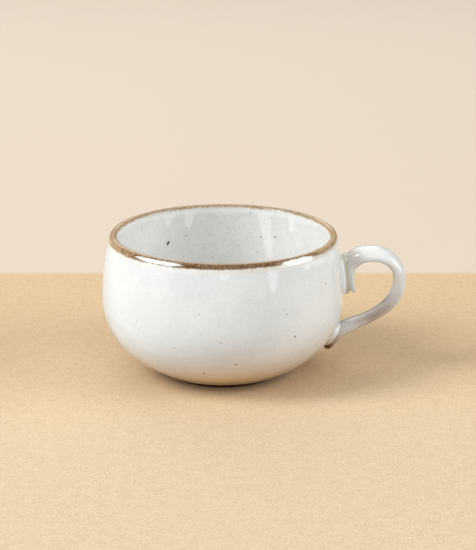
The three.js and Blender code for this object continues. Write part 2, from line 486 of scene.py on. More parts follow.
def enter(piece: bpy.types.Object, slot: Slot, *nodes: str) -> None:
    """Enters a finished piece in the frame.

    Args:
        piece: The piece.
        slot: The record's finish that it takes. It is not used.
        nodes: The CAD nodes that it stands for.
    """
    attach(piece, BODY)
    if nodes:
        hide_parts(*nodes)
    LOG.info("%s: %d faces, for %s", piece.name, len(piece.data.polygons), ", ".join(nodes) or "detail")


# Finishes

class Painter(Tree):
    """A material's shader tree, which reads the piece's own place and attributes."""

    def __init__(self, name: str) -> None:
        """Starts an empty material.

        Args:
            name: Its name.
        """
        self.material = bpy.data.materials.new(name)
        self.material.use_nodes = True
        super().__init__(self.material.node_tree)
        self.data.nodes.clear()
        self.place = self.node("ShaderNodeTexCoord")["Object"]

    def attribute(self, name: str) -> Link:
        """A number kept on the piece's points."""
        return self.node("ShaderNodeAttribute", {"attribute_name": name})["Fac"]

    def direction(self, name: str) -> Link:
        """A direction kept on the piece's points."""
        return self.node("ShaderNodeAttribute", {"attribute_name": name})["Vector"]

    def bump(self, height: Link, depth: float) -> Link:
        """The normal of a fine relief, whose height is a share of its depth in millimetres."""
        sockets = {"Height": height, "Strength": 1.0, "Distance": depth * MM}
        return self.node("ShaderNodeBump", {}, sockets)[0]

    def finish(self, sockets: Mapping[str, object]) -> bpy.types.Material:
        """Ends the tree in one surface.

        Args:
            sockets: The value or the link of each of the surface's inputs.

        Returns:
            The finished material.
        """
        surface = self.node("ShaderNodeBsdfPrincipled", {}, sockets)[0]
        self.node("ShaderNodeOutputMaterial", {}, {"Surface": surface})
        return self.material


@dataclass(frozen=True)
class LipHighlightGap:
    """A lens-shaped gap in the lip's band, left white where a lamp's highlight falls: a painted highlight.

    Its middle and its reach are in degrees round the axis from the handle, the drop of its middle and
    half its height are in millimetres.
    """

    turn: float
    spread: float
    drop: float
    height: float


@dataclass(frozen=True)
class GlazeBreak:
    """Where and how the glaze breaks over the lip and shows the iron in the clay.

    Drops are distances down the section from the lip's crest in millimetres, below 0 inside the cup.
    Grains are the sizes of the noise's patches in millimetres. A range goes from where a share starts
    to where it is full.
    """

    grit_grain: float = 0.7
    mottle_grain: float = 1.3
    patch_grain: float = 5.0
    grit_wander: float = 0.8
    mottle_wander: float = 1.1
    patch_wander: float = 0.9
    outer_drop: float = 2.85
    outer_sway: float = 0.55
    inner_drop: float = -2.15
    inner_rise: float = 0.2
    inner_wander: float = 0.7
    softness: float = 0.42
    behind_range: Range = (0.2, 0.8)
    crest_drop: float = 0.3
    crest_fade: float = 0.8
    crest_tan_and_reflection: float = 0.6
    fringe_reach: float = 2.2
    fringe_turn: float = -40.0
    fringe_range: Range = (0.3, 0.9)
    fringe_least: float = 0.25
    fringe_more: float = 0.4
    rust_turn: float = -92.0
    rust_mottle: float = 0.5
    rust_patches: float = 0.3
    rust_range: Range = (0.35, 0.95)
    pale_range: Range = (0.04, 0.16)
    pale_share: float = 0.4
    pit_mottle: float = 0.5
    pit_range: Range = (0.02, 0.12)
    pit_rust_range: Range = (0.4, 1.0)
    pit_least: float = 0.5
    pit_more: float = 0.35
    blot_range: Range = (0.17, 0.3)
    blot_share: float = 0.5
    highlight_grit: float = 2.0
    highlight_range: Range = (0.0, 0.3)
    # Painted highlights: gaps left white in the band where the lamps' highlights fall on the lip.
    highlight_gaps: tuple[LipHighlightGap, ...] = (LipHighlightGap(-124.0, 16.0, 1.95, 0.75), LipHighlightGap(-51.0, 11.5, 2.3, 1.15))
    tan: Colour = srgb(190, 161, 124)
    umber: Colour = srgb(166, 145, 116)
    brown: Colour = srgb(114, 81, 50)
    dark: Colour = srgb(64, 42, 24)
    straw: Colour = srgb(210, 195, 166)

    def paint(self, painter: Painter, ground: Link) -> tuple[Link, Link]:
        """Lays the iron-brown band over a ground colour.

        The band is brown in front, tan at the sides and umber behind, and reaches lowest at the left. It is
        left white in gaps where the lamps' highlights fall on the lip, as painted highlights, and its crest
        is lighter in front, partly a painted reflection.

        Args:
            painter: The material's tree.
            ground: The glaze's colour.

        Returns:
            The colour, and the share of it that is bare of glaze.
        """
        place = painter.place
        around = painter.direction("around")
        drop = painter.attribute("drop")
        grit = painter.noise(place, self.grit_grain)
        mottle = painter.noise(place, self.mottle_grain, detail=3.0)
        patches = painter.noise(place, self.patch_grain)
        wander = grit * self.grit_wander + mottle * self.mottle_wander + patches * self.patch_wander
        ragged = drop + around.part("X") * self.outer_sway + wander
        low = self.outer_drop
        soft = self.softness
        outer = ragged.eased(low + soft, low - soft)
        behind = around.part("Y").eased(*self.behind_range)
        inside = drop + wander * self.inner_wander - behind * self.inner_rise
        inner = inside.eased(self.inner_drop - soft, self.inner_drop + soft)
        band = outer * inner
        # The straw fringe under the band is stronger towards the right.
        fringe_strength = self.towards(around, self.fringe_turn).eased(*self.fringe_range)
        fringe_strength = fringe_strength * self.fringe_more + self.fringe_least
        fringe = ragged.eased(low + self.fringe_reach, low) * inner * fringe_strength
        # Painted highlights: the band and its fringe are left out where the lamps' highlights fall.
        for gap in self.highlight_gaps:
            outside_highlights = 1.0 - self.highlight_white_in(gap, around, drop, grit)
            band = band * outside_highlights
            fringe = fringe * outside_highlights
        # Lighter tan along the crest in front: the lip's tan top, with a painted reflection of the bright
        # backdrop.
        crest = drop.eased(self.crest_drop + self.crest_fade, self.crest_drop) * (1.0 - behind)
        rust = self.towards(around, self.rust_turn) + mottle * self.rust_mottle
        rust = rust + patches * self.rust_patches
        iron = painter.tint(self.tan, self.umber, behind)
        iron = painter.tint(iron, self.brown, rust.eased(*self.rust_range))
        iron = painter.tint(iron, self.tan, (grit * -1.0).eased(*self.pale_range) * self.pale_share)
        deep = rust.eased(*self.pit_rust_range) * self.pit_more + self.pit_least
        pits = (grit + mottle * self.pit_mottle).eased(*self.pit_range) * deep
        blots = mottle.eased(*self.blot_range) * self.blot_share
        iron = painter.tint(iron, self.dark, painter.either(pits, blots))
        iron = painter.tint(iron, self.tan, crest * self.crest_tan_and_reflection)
        colour = painter.tint(ground, self.straw, fringe)
        return painter.tint(colour, iron, band), band

    @staticmethod
    def towards(around: Link, turn: float) -> Link:
        """How far a direction round the axis faces a turn in degrees: 1 right towards it, -1 away."""
        angle = math.radians(turn)
        return around.part("X") * math.cos(angle) + around.part("Y") * math.sin(angle)

    def highlight_white_in(self, gap: LipHighlightGap, around: Link, drop: Link, grit: Link) -> Link:
        """Share of the band left white in a gap, a painted highlight where a lamp's highlight falls.

        Args:
            gap: The gap.
            around: Direction round the axis.
            drop: Distance down from the lip's crest.
            grit: Fine noise for its edge.

        Returns:
            1 inside the gap and 0 outside.
        """
        along = self.towards(around, gap.turn)
        ends = along.eased(math.cos(math.radians(gap.spread)), 1.0)
        away = (drop - gap.drop) / gap.height
        return (ends * (grit * self.highlight_grit + 1.0) - away * away).eased(*self.highlight_range)


@dataclass(frozen=True)
class WhiteGlaze:
    """Glossy off-white stoneware glaze, warmer where it lies thin and whiter where it has run. Its thin
    tint also paints shade on the handle and deep in the hollow, and its bare colour paints the shadow under
    the handle's lower tip.
    """

    name: str
    breaks: bool
    white: Colour = srgb(229, 228, 224)
    cool: Colour = srgb(221, 222, 218)
    thick: Colour = srgb(240, 240, 238)
    thin: Colour = srgb(190, 172, 158)
    bare: Colour = srgb(116, 84, 58)
    pepper: Colour = srgb(172, 158, 140)
    patch_grain: float = 22.0
    cloud_grain: float = 3.2
    fine_grain: float = 0.6
    cool_patches: float = 1.6
    cool_clouds: float = 0.7
    cool_least: float = 0.5
    cool_range: Range = (0.2, 0.8)
    thin_clouds: float = 0.12
    thin_range: Range = (0.0, 0.9)
    bare_range: Range = (0.7, 1.1)
    pepper_range: Range = (0.1, 0.3)
    pepper_share: float = 0.4
    gloss: float = 0.13
    patch_rough: float = 0.06
    cloud_rough: float = 0.04
    band_rough: float = 0.06
    refraction: float = 1.5
    peel_grain: float = 1.4
    dimple_grain: float = 6.0
    dimple_share: float = 1.4
    peel_depth: float = 0.012

    def material(self) -> bpy.types.Material:
        """The finish as a material.

        Returns:
            The material. It reads the piece's attributes run and thin, and also drop and around where
            the glaze breaks.
        """
        painter = Painter(self.name)
        place = painter.place
        patches = painter.noise(place, self.patch_grain, detail=3.0)
        clouds = painter.noise(place, self.cloud_grain, detail=3.0)
        grains = painter.noise(place, self.fine_grain)
        thin = painter.attribute("thin") + clouds * self.thin_clouds
        cool = patches * self.cool_patches + self.cool_least + clouds * self.cool_clouds + grains
        colour = painter.tint(self.white, self.cool, cool.eased(*self.cool_range))
        colour = painter.tint(colour, self.thick, painter.attribute("run"))
        # The thin and bare tints also paint shade on the handle and in the hollow, and the shadow under the
        # handle's lower tip.
        colour = painter.tint(colour, self.thin, thin.eased(*self.thin_range))
        colour = painter.tint(colour, self.bare, thin.eased(*self.bare_range))
        pepper = grains.eased(*self.pepper_range) * self.pepper_share
        colour = painter.tint(colour, self.pepper, pepper)
        rough = patches * self.patch_rough + clouds * self.cloud_rough + self.gloss
        if self.breaks:
            colour, band = GlazeBreak().paint(painter, colour)
            rough = rough + band * self.band_rough
        dimples = painter.noise(place, self.dimple_grain) * self.dimple_share
        relief = painter.noise(place, self.peel_grain) + dimples
        sockets = {
            "Base Color": colour,
            "Roughness": rough,
            "IOR": self.refraction,
            "Normal": painter.bump(relief, self.peel_depth),
        }
        return painter.finish(sockets)


@dataclass(frozen=True)
class BareClay:
    """Unglazed fired stoneware, matt and sandy, toasted in patches and freckled with iron."""

    name: str = "bare_clay"
    clay: Colour = srgb(158, 121, 86)
    toasted: Colour = srgb(128, 92, 62)
    sand: Colour = srgb(190, 160, 122)
    iron: Colour = srgb(70, 48, 34)
    patch_grain: float = 14.0
    sand_grain: float = 0.45
    iron_grain: float = 1.1
    lump_grain: float = 1.6
    toasted_range: Range = (-0.2, 0.3)
    sand_range: Range = (0.05, 0.25)
    sand_share: float = 0.6
    iron_range: Range = (0.21, 0.27)
    iron_share: float = 0.8
    rough: float = 0.84
    patch_rough: float = 0.1
    lump_share: float = 0.8
    sand_depth: float = 0.07

    def material(self) -> bpy.types.Material:
        """The finish as a material.

        Returns:
            The material.
        """
        painter = Painter(self.name)
        place = painter.place
        patches = painter.noise(place, self.patch_grain, detail=4.0)
        sand = painter.noise(place, self.sand_grain, detail=3.0)
        iron = painter.noise(place, self.iron_grain)
        lumps = painter.noise(place, self.lump_grain) * self.lump_share
        colour = painter.tint(self.clay, self.toasted, patches.eased(*self.toasted_range))
        colour = painter.tint(colour, self.sand, sand.eased(*self.sand_range) * self.sand_share)
        colour = painter.tint(colour, self.iron, iron.eased(*self.iron_range) * self.iron_share)
        sockets = {
            "Base Color": colour,
            "Roughness": patches * self.patch_rough + self.rough,
            "Normal": painter.bump(sand + lumps, self.sand_depth),
        }
        return painter.finish(sockets)


@dataclass(frozen=True)
class IronSpeck:
    """A speck of iron that has bled through the glaze, paler where it lies deeper."""

    name: str = "iron_speck"
    iron: Colour = srgb(62, 48, 38)
    veiled: Colour = srgb(176, 164, 148)
    grain: float = 0.2
    veil_grain: float = 0.3
    rough: float = 0.25
    grain_rough: float = 0.1

    def material(self) -> bpy.types.Material:
        """The finish as a material.

        Returns:
            The material. It reads the piece's attribute veil.
        """
        painter = Painter(self.name)
        grains = painter.noise(painter.place, self.grain)
        veil = (painter.attribute("veil") + grains * self.veil_grain).eased(0.0, 1.0)
        sockets = {
            "Base Color": painter.tint(self.iron, self.veiled, veil),
            "Roughness": grains * self.grain_rough + self.rough,
        }
        return painter.finish(sockets)


@dataclass(frozen=True)
class Paper:
    """The pale paper that the cup stands on and the lighter paper behind it.

    What the camera and the glaze's gloss see is tan, a little paler in front. The light that it throws
    back is tan close to the cup and plain grey further off, as in a room where the paper is small.
    """

    name: str = "stage_paper"
    near: Colour = srgb(221, 194, 157)
    fibre: Colour = srgb(201, 172, 133)
    front: Colour = srgb(221, 199, 167)
    front_fibre: Colour = srgb(201, 177, 143)
    far: Colour = srgb(215, 199, 180)
    farthest: Colour = srgb(232, 216, 198)
    thrown_near: Colour = srgb(198, 147, 64)
    thrown_far: Colour = srgb(202, 204, 207)
    edge: float = 136.5
    edge_blur: float = 4.0
    depth: float = 1000.0
    front_start: float = 40.0
    front_end: float = -80.0
    near_reach: float = 44.0
    far_reach: float = 92.0
    fibre_grain: float = 0.9
    tuft_grain: float = 4.0
    tuft_share: float = 0.35
    fibre_range: Range = (-0.25, 0.3)
    fibre_depth: float = 0.03
    rough: float = 0.9
    sheen: float = 0.1

    def material(self) -> bpy.types.Material:
        """The finish as a material.

        Returns:
            The material.
        """
        painter = Painter(self.name)
        place = painter.place
        back = place.part("Y")
        behind = back.eased((self.edge - self.edge_blur) * MM, (self.edge + self.edge_blur) * MM)
        tufts = painter.noise(place, self.tuft_grain) * self.tuft_share
        fibres = painter.noise(place, self.fibre_grain, detail=3.0) + tufts
        forward = back.eased(self.front_start * MM, self.front_end * MM)
        sheet = painter.tint(self.near, self.front, forward)
        fibre = painter.tint(self.fibre, self.front_fibre, forward)
        shown = painter.tint(sheet, fibre, fibres.eased(*self.fibre_range))
        distance = painter.tint(self.far, self.farthest, back.eased(-self.edge * MM, self.depth * MM))
        shown = painter.tint(shown, distance, behind)
        away = painter.node("ShaderNodeVectorMath", {"operation": "LENGTH"}, {0: place})["Value"]
        distant = away.eased(self.near_reach * MM, self.far_reach * MM)
        thrown = painter.tint(self.thrown_near, self.thrown_far, distant)
        path = painter.node("ShaderNodeLightPath")
        mirrored = painter.either(path["Is Glossy Ray"], path["Is Transmission Ray"])
        sockets = {
            "Base Color": painter.tint(thrown, shown, painter.either(path["Is Camera Ray"], mirrored)),
            "Roughness": self.rough,
            "Specular IOR Level": self.sheen,
            "Normal": painter.bump(fibres, self.fibre_depth),
        }
        return painter.finish(sockets)


# Bowl

@dataclass(frozen=True)
class Ring:
    """One point of a turned section: sizes in millimetres, coat and thin as shares."""

    radius: float
    height: float
    slant: tuple[float, float]
    drop: float
    coat: float
    thin: float = 0.0


@dataclass(frozen=True)
class Run:
    """A run of thick glaze down the wall.

    Angles are in degrees round the axis from the handle, drops and half widths in millimetres.
    """

    top_angle: float
    tip_angle: float
    top_drop: float
    tip_drop: float
    top_width: float
    tip_width: float


@dataclass
class BowlSection:
    """The thrown bowl's section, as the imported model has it, in millimetres."""

    rim_height: float = 57.2
    lip_thickness: float = 2.2
    belly_radius: float = 48.6
    belly_height: float = 31.8
    belly_depth: float = 34.2
    belly_squareness: float = 2.11
    shoulder_radius: float = 95.0
    wall_thickness: float = 3.2
    floor_thickness: float = 4.0
    hollow_squareness: float = 2.3
    foot_height: float = 2.2
    recess_depth: float = 1.0
    coat_thickness: float = 0.4
    band_drop: float = 0.6
    glaze_line_rise: float = 0.5
    lip_roll: float = 0.22
    lip_roll_drop: float = 3.4
    foot_roll: float = 0.2
    foot_roll_width: float = 1.3
    # Painted shade: the inside glaze takes the thin tint deeper in the hollow, where shade falls.
    hollow_shade_top: float = 10.0
    hollow_shade_depth: float = 18.0
    hollow_shade: float = 0.15
    lip_roll_reach: float = 1.1
    foot_roll_reach: float = 1.2
    bare_reach: float = 1.6
    edge_steps: int = 6
    lower_steps: int = 96
    shoulder_steps: int = 36
    band_steps: int = 4
    lip_steps: int = 32
    hollow_steps: int = 36
    floor_steps: int = 84
    hidden_step: int = 3
    surface: list[Vector] = field(default_factory=list)
    normals: list[Vector] = field(default_factory=list)
    drops: list[float] = field(default_factory=list)
    glaze_line: int = 0
    band_start: int = 0
    band_end: int = 0

    def __post_init__(self) -> None:
        """Lays out the clay's surface from the lower edge over the lip to the middle of the floor."""
        lip_radius = self.lip_thickness / 2.0
        shoulder = self.shoulder_radius
        centre = Vector((self.belly_radius - shoulder, self.belly_height))
        rise = self.rim_height - lip_radius - self.belly_height
        lean = math.asin(rise / (shoulder - lip_radius))
        band_lean = lean - self.band_drop / shoulder
        across = centre.x + (shoulder - lip_radius) * math.cos(lean)
        lip = Vector((across, self.rim_height - lip_radius))
        edge = self.outside_angle(self.foot_height)
        line = self.outside_angle(self.foot_height + self.glaze_line_rise)
        self.run_along(self.edge_steps, lambda share: self.outside(lerp(edge, line, share)))
        self.glaze_line = len(self.surface)
        self.run_along(self.lower_steps, lambda share: self.outside(lerp(line, QUARTER_TURN, share)))
        self.run_along(
            self.shoulder_steps, lambda share: self.on_arc(centre, shoulder, band_lean * share)
        )
        self.band_start = len(self.surface)
        turn = lean - band_lean
        self.run_along(
            self.band_steps, lambda share: self.on_arc(centre, shoulder, band_lean + turn * share)
        )
        self.run_along(
            self.lip_steps, lambda share: self.on_arc(lip, lip_radius, lean + math.pi * share)
        )
        self.band_end = len(self.surface)
        end = self.on_arc(lip, lip_radius, lean + math.pi)
        hollow = self.belly_radius - self.wall_thickness
        up = end.y - self.belly_height
        middle = Vector(((end.x**2 + up**2 - hollow**2) / (2.0 * (end.x - hollow)), self.belly_height))
        reach = hollow - middle.x
        start = math.asin(up / reach)
        self.run_along(
            self.hollow_steps, lambda share: self.on_arc(middle, reach, start * (1.0 - share))
        )
        deep = self.belly_height - self.floor_height
        square = self.hollow_squareness
        self.run_along(
            self.floor_steps,
            lambda share: self.lower_curve(hollow, deep, square, (1.0 - share) * QUARTER_TURN),
        )
        self.surface.append(Vector((0.0, self.floor_height)))
        self.measure()

    @property
    def seam_drop(self) -> float:
        """Drop of the lower of the two seams between the lip and the coats on both sides of it."""
        return max(self.drops[self.band_start], -self.drops[self.band_end])

    @property
    def floor_height(self) -> float:
        """Height of the clay floor's middle."""
        return self.foot_height + self.recess_depth + self.floor_thickness

    def run_along(self, steps: int, place: Callable[[float], Vector]) -> None:
        """Adds a stretch to the surface, without its last point."""
        self.surface.extend(place(step / steps) for step in range(steps))

    @staticmethod
    def on_arc(centre: Vector, radius: float, angle: float) -> Vector:
        """A point on an arc round a centre."""
        return centre + radius * Vector((math.cos(angle), math.sin(angle)))

    def lower_curve(self, radius: float, depth: float, square: float, angle: float) -> Vector:
        """A point of a superellipse below the belly.

        Args:
            radius: Its half width.
            depth: Its half height.
            square: Its squareness, where 2 gives an ellipse.
            angle: The point's angle off straight down.

        Returns:
            The point as (radius, height).
        """
        out = math.sin(angle) ** (2.0 / square)
        down = max(math.cos(angle), 0.0) ** (2.0 / square)
        return Vector((radius * out, self.belly_height - depth * down))

    def outside(self, angle: float) -> Vector:
        """A point of the wall's lower curve outside."""
        return self.lower_curve(self.belly_radius, self.belly_depth, self.belly_squareness, angle)

    def outside_angle(self, height: float) -> float:
        """Angle of the wall's lower curve at a height."""
        return math.acos(((self.belly_height - height) / self.belly_depth) ** (self.belly_squareness / 2.0))

    def wall_radius(self, height: float) -> float:
        """Radius of the bare wall.

        Args:
            height: Height above the table.

        Returns:
            The radius there.
        """
        if height > self.belly_height:
            rise = height - self.belly_height
            inwards = self.shoulder_radius - math.sqrt(self.shoulder_radius**2 - rise**2)
            return self.belly_radius - inwards
        return self.outside(self.outside_angle(height)).x

    def measure(self) -> None:
        """Works out the surface's normals, and the drop from the lip's crest along the coat."""
        last = len(self.surface) - 1
        for place in range(last):
            run = self.surface[place + 1] - self.surface[max(place - 1, 0)]
            self.normals.append(Vector((run.y, -run.x)).normalized())
        self.normals.append(Vector((0.0, 1.0)))
        coat = [point + side * self.coat_thickness for point, side in zip(self.surface, self.normals)]
        crest = max(range(last), key=lambda place: coat[place].y)
        self.drops = [0.0] * (last + 1)
        for place in range(crest - 1, -1, -1):
            self.drops[place] = self.drops[place + 1] + (coat[place] - coat[place + 1]).length
        for place in range(crest + 1, last + 1):
            self.drops[place] = self.drops[place - 1] - (coat[place] - coat[place - 1]).length

    def coat_at(self, place: int) -> float:
        """Thickness of the coat, with its rolls below the lip and at the foot.

        Args:
            place: Number of a point of the surface.

        Returns:
            The thickness there.
        """
        swell = self.lip_roll * hump(self.drops[place], self.lip_roll_drop, self.lip_roll_reach)
        above_line = self.drops[self.glaze_line] - self.drops[place]
        rounding = 1.0
        if above_line < self.foot_roll_width:
            left = 1.0 - max(above_line, 0.0) / self.foot_roll_width
            rounding = math.sqrt(max(1.0 - left**2, 0.0))
        swell += self.foot_roll * hump(above_line, self.foot_roll_width, self.foot_roll_reach)
        return (self.coat_thickness + swell) * rounding

    def over(self, place: int) -> Ring:
        """The coat's outside.

        Args:
            place: Number of the point of the surface below it.

        Returns:
            The section's point there.
        """
        side = self.normals[place]
        spot = self.surface[place] + side * self.coat_at(place)
        above_line = self.drops[self.glaze_line] - self.drops[place]
        # Painted shade deeper in the hollow, laid on as the thin tint.
        shade_depth = (-self.drops[place] - self.hollow_shade_top) / self.hollow_shade_depth
        thin = hump(above_line, 0.0, self.bare_reach) + self.hollow_shade * smoothstep(shade_depth)
        return Ring(spot.x, spot.y, (side.x, side.y), self.drops[place], 1.0, thin)

    def under(self, place: int) -> Ring:
        """The clay's surface.

        Args:
            place: Number of a point of the surface.

        Returns:
            The section's point there.
        """
        side = self.normals[place]
        spot = self.surface[place]
        return Ring(spot.x, spot.y, (side.x, side.y), self.drops[place], 0.0)

    def coat(self, first: int, last: int) -> list[Ring]:
        """A coat between two points of the surface as a closed section, sparser where it is hidden.

        Args:
            first: The point where it starts.
            last: The point where it ends.

        Returns:
            The section. One that reaches the axis starts and ends there.
        """
        hidden = [*range(last, first, -self.hidden_step), first]
        outside = [self.over(place) for place in range(first, last + 1)]
        inside = [self.under(place) for place in hidden]
        if last == len(self.surface) - 1:
            return [*inside, *outside]
        return [*outside, *inside, outside[0]]

    def coat_spot(self, drop: float) -> tuple[Vector, Vector]:
        """The coat's outside at a drop.

        Args:
            drop: Distance down from the lip's crest, below 0 inside the cup.

        Returns:
            The point as (radius, height) and the normal there.
        """
        after = next(place for place, here in enumerate(self.drops) if here <= drop)
        before = max(after - 1, 0)
        gap = self.drops[before] - self.drops[after]
        share = (self.drops[before] - drop) / gap if gap else 0.0
        side = self.normals[before].lerp(self.normals[after], share).normalized()
        spot = self.surface[before].lerp(self.surface[after], share)
        return spot + side * lerp(self.coat_at(before), self.coat_at(after), share), side

    def outside_drop(self, height: float) -> float:
        """Drop of the wall outside at a height."""
        nearest = min(range(self.band_start), key=lambda place: abs(self.surface[place].y - height))
        return self.drops[nearest]


def turned_form() -> Recipe:
    """The tree that turns a section about the cup's axis.

    Returns:
        A tree that wraps a grid round the axis by the section's points, lets its rings and its walls
        waver as a thrown form does, leans and lifts its rim a little, and closes its seam and poles.
    """
    recipe = Recipe(
        "turned_form",
        {
            "Section": bpy.types.Object,
            "Rings": int,
            "Turns": int,
            "Axis": float,
            "Ring Depth": float,
            "Ring Pitch": float,
            "Waver": float,
            "Rim Lean": float,
            "Rim Lift": float,
            "Rim Start": float,
            "Rim End": float,
            "Material": bpy.types.Material,
        },
    )
    given = recipe.given
    waver_grain = 26.0
    lift_swing = 0.5
    lift_middle = 0.3
    sheet, turn, index = recipe.wrapped_grid(given["Turns"], given["Rings"])
    spot = recipe.node("GeometryNodeInputPosition")[0]
    section = recipe.object("Section")
    ring = recipe.sample(section, spot, index, "FLOAT_VECTOR")
    slant = recipe.sample(section, recipe.named("slant", "FLOAT_VECTOR"), index, "FLOAT_VECTOR")
    cosine = turn.apply("COSINE")
    sine = turn.apply("SINE")
    place = recipe.vector(
        cosine * ring.part("X") + given["Axis"], sine * ring.part("X"), ring.part("Z")
    )
    facing = recipe.vector(cosine * slant.part("X"), sine * slant.part("X"), slant.part("Z"))
    for label in ("drop", "coat", "thin"):
        value = recipe.sample(section, recipe.named(label), index)
        sheet = recipe.store(sheet, label, value)
    sheet = recipe.store(sheet, "turn", turn)
    sheet = recipe.store(sheet, "around", recipe.vector(cosine, sine, 0.0), "FLOAT_VECTOR")
    sheet = recipe.store(sheet, "facing", facing, "FLOAT_VECTOR")
    form = recipe.node("GeometryNodeSetPosition", {}, {"Geometry": sheet, "Position": place})[0]
    angle = recipe.named("turn")
    spiral = (recipe.named("drop") * FULL_TURN / given["Ring Pitch"] + angle).apply("SINE")
    waver = recipe.noise(spot, waver_grain, detail=1.0) * 2.0 * given["Waver"]
    swell = recipe.named("facing", "FLOAT_VECTOR") * (spiral * given["Ring Depth"] + waver)
    near_rim = (spot.part("Z") - given["Rim Start"]) / (given["Rim End"] - given["Rim Start"])
    rim = near_rim.eased(0.0, 1.0)
    lift = (angle.apply("SINE") * lift_swing + lift_middle) * given["Rim Lift"] * rim
    offset = swell + recipe.vector(given["Rim Lean"] * rim, 0.0, lift)
    form = recipe.node("GeometryNodeSetPosition", {}, {"Geometry": form, "Offset": offset})[0]
    recipe.end(recipe.weld(form))
    return recipe


def glaze_runs() -> Recipe:
    """The tree that lets the glaze run down a coat.

    Returns:
        A tree that thickens a coat along guide lines and in an uneven band below the lip, and keeps
        where as the attribute run.
    """
    recipe = Recipe(
        "glaze_runs",
        {
            "Lines": bpy.types.Object,
            "Thickness": float,
            "Softness": float,
            "Seam Drop": float,
            "Band Drop": float,
            "Band Waver": float,
            "Band Share": float,
            "Material": bpy.types.Material,
        },
    )
    given = recipe.given
    edge_grain = 4.0
    edge_wander = 0.8 * MM
    edge_range = (-0.5, 0.5)
    band_grain = 12.0
    band_range = (-1.2, 1.2)
    seam_range = (0.0, 1.2)
    lines = recipe.object("Lines")
    spot = recipe.node("GeometryNodeInputPosition")[0]
    nearest = {"Geometry": lines, "Sample Position": spot}
    index = recipe.node("GeometryNodeSampleNearest", {}, nearest)[0]
    reach = recipe.sample(lines, recipe.named("reach"), index)
    middle = recipe.sample(lines, spot, index, "FLOAT_VECTOR")
    away = recipe.node("ShaderNodeVectorMath", {"operation": "DISTANCE"}, {0: spot, 1: middle})["Value"]
    ragged = recipe.noise(spot, edge_grain) * edge_wander
    inside = (reach - away + ragged) / given["Softness"]
    below = given["Band Drop"] - recipe.named("drop").apply("ABSOLUTE")
    band = (below + recipe.noise(spot, band_grain) * given["Band Waver"]).eased(*band_range)
    flow = recipe.either(inside.eased(*edge_range), band * given["Band Share"])
    run = flow * recipe.named("coat")
    form = recipe.store(given["Geometry"], "run", run)
    below_seam = recipe.named("drop").apply("ABSOLUTE") - given["Seam Drop"]
    swell = recipe.named("run") * below_seam.eased(*seam_range) * given["Thickness"]
    swell = recipe.named("facing", "FLOAT_VECTOR") * swell
    form = recipe.node("GeometryNodeSetPosition", {}, {"Geometry": form, "Offset": swell})[0]
    recipe.end(form)
    return recipe


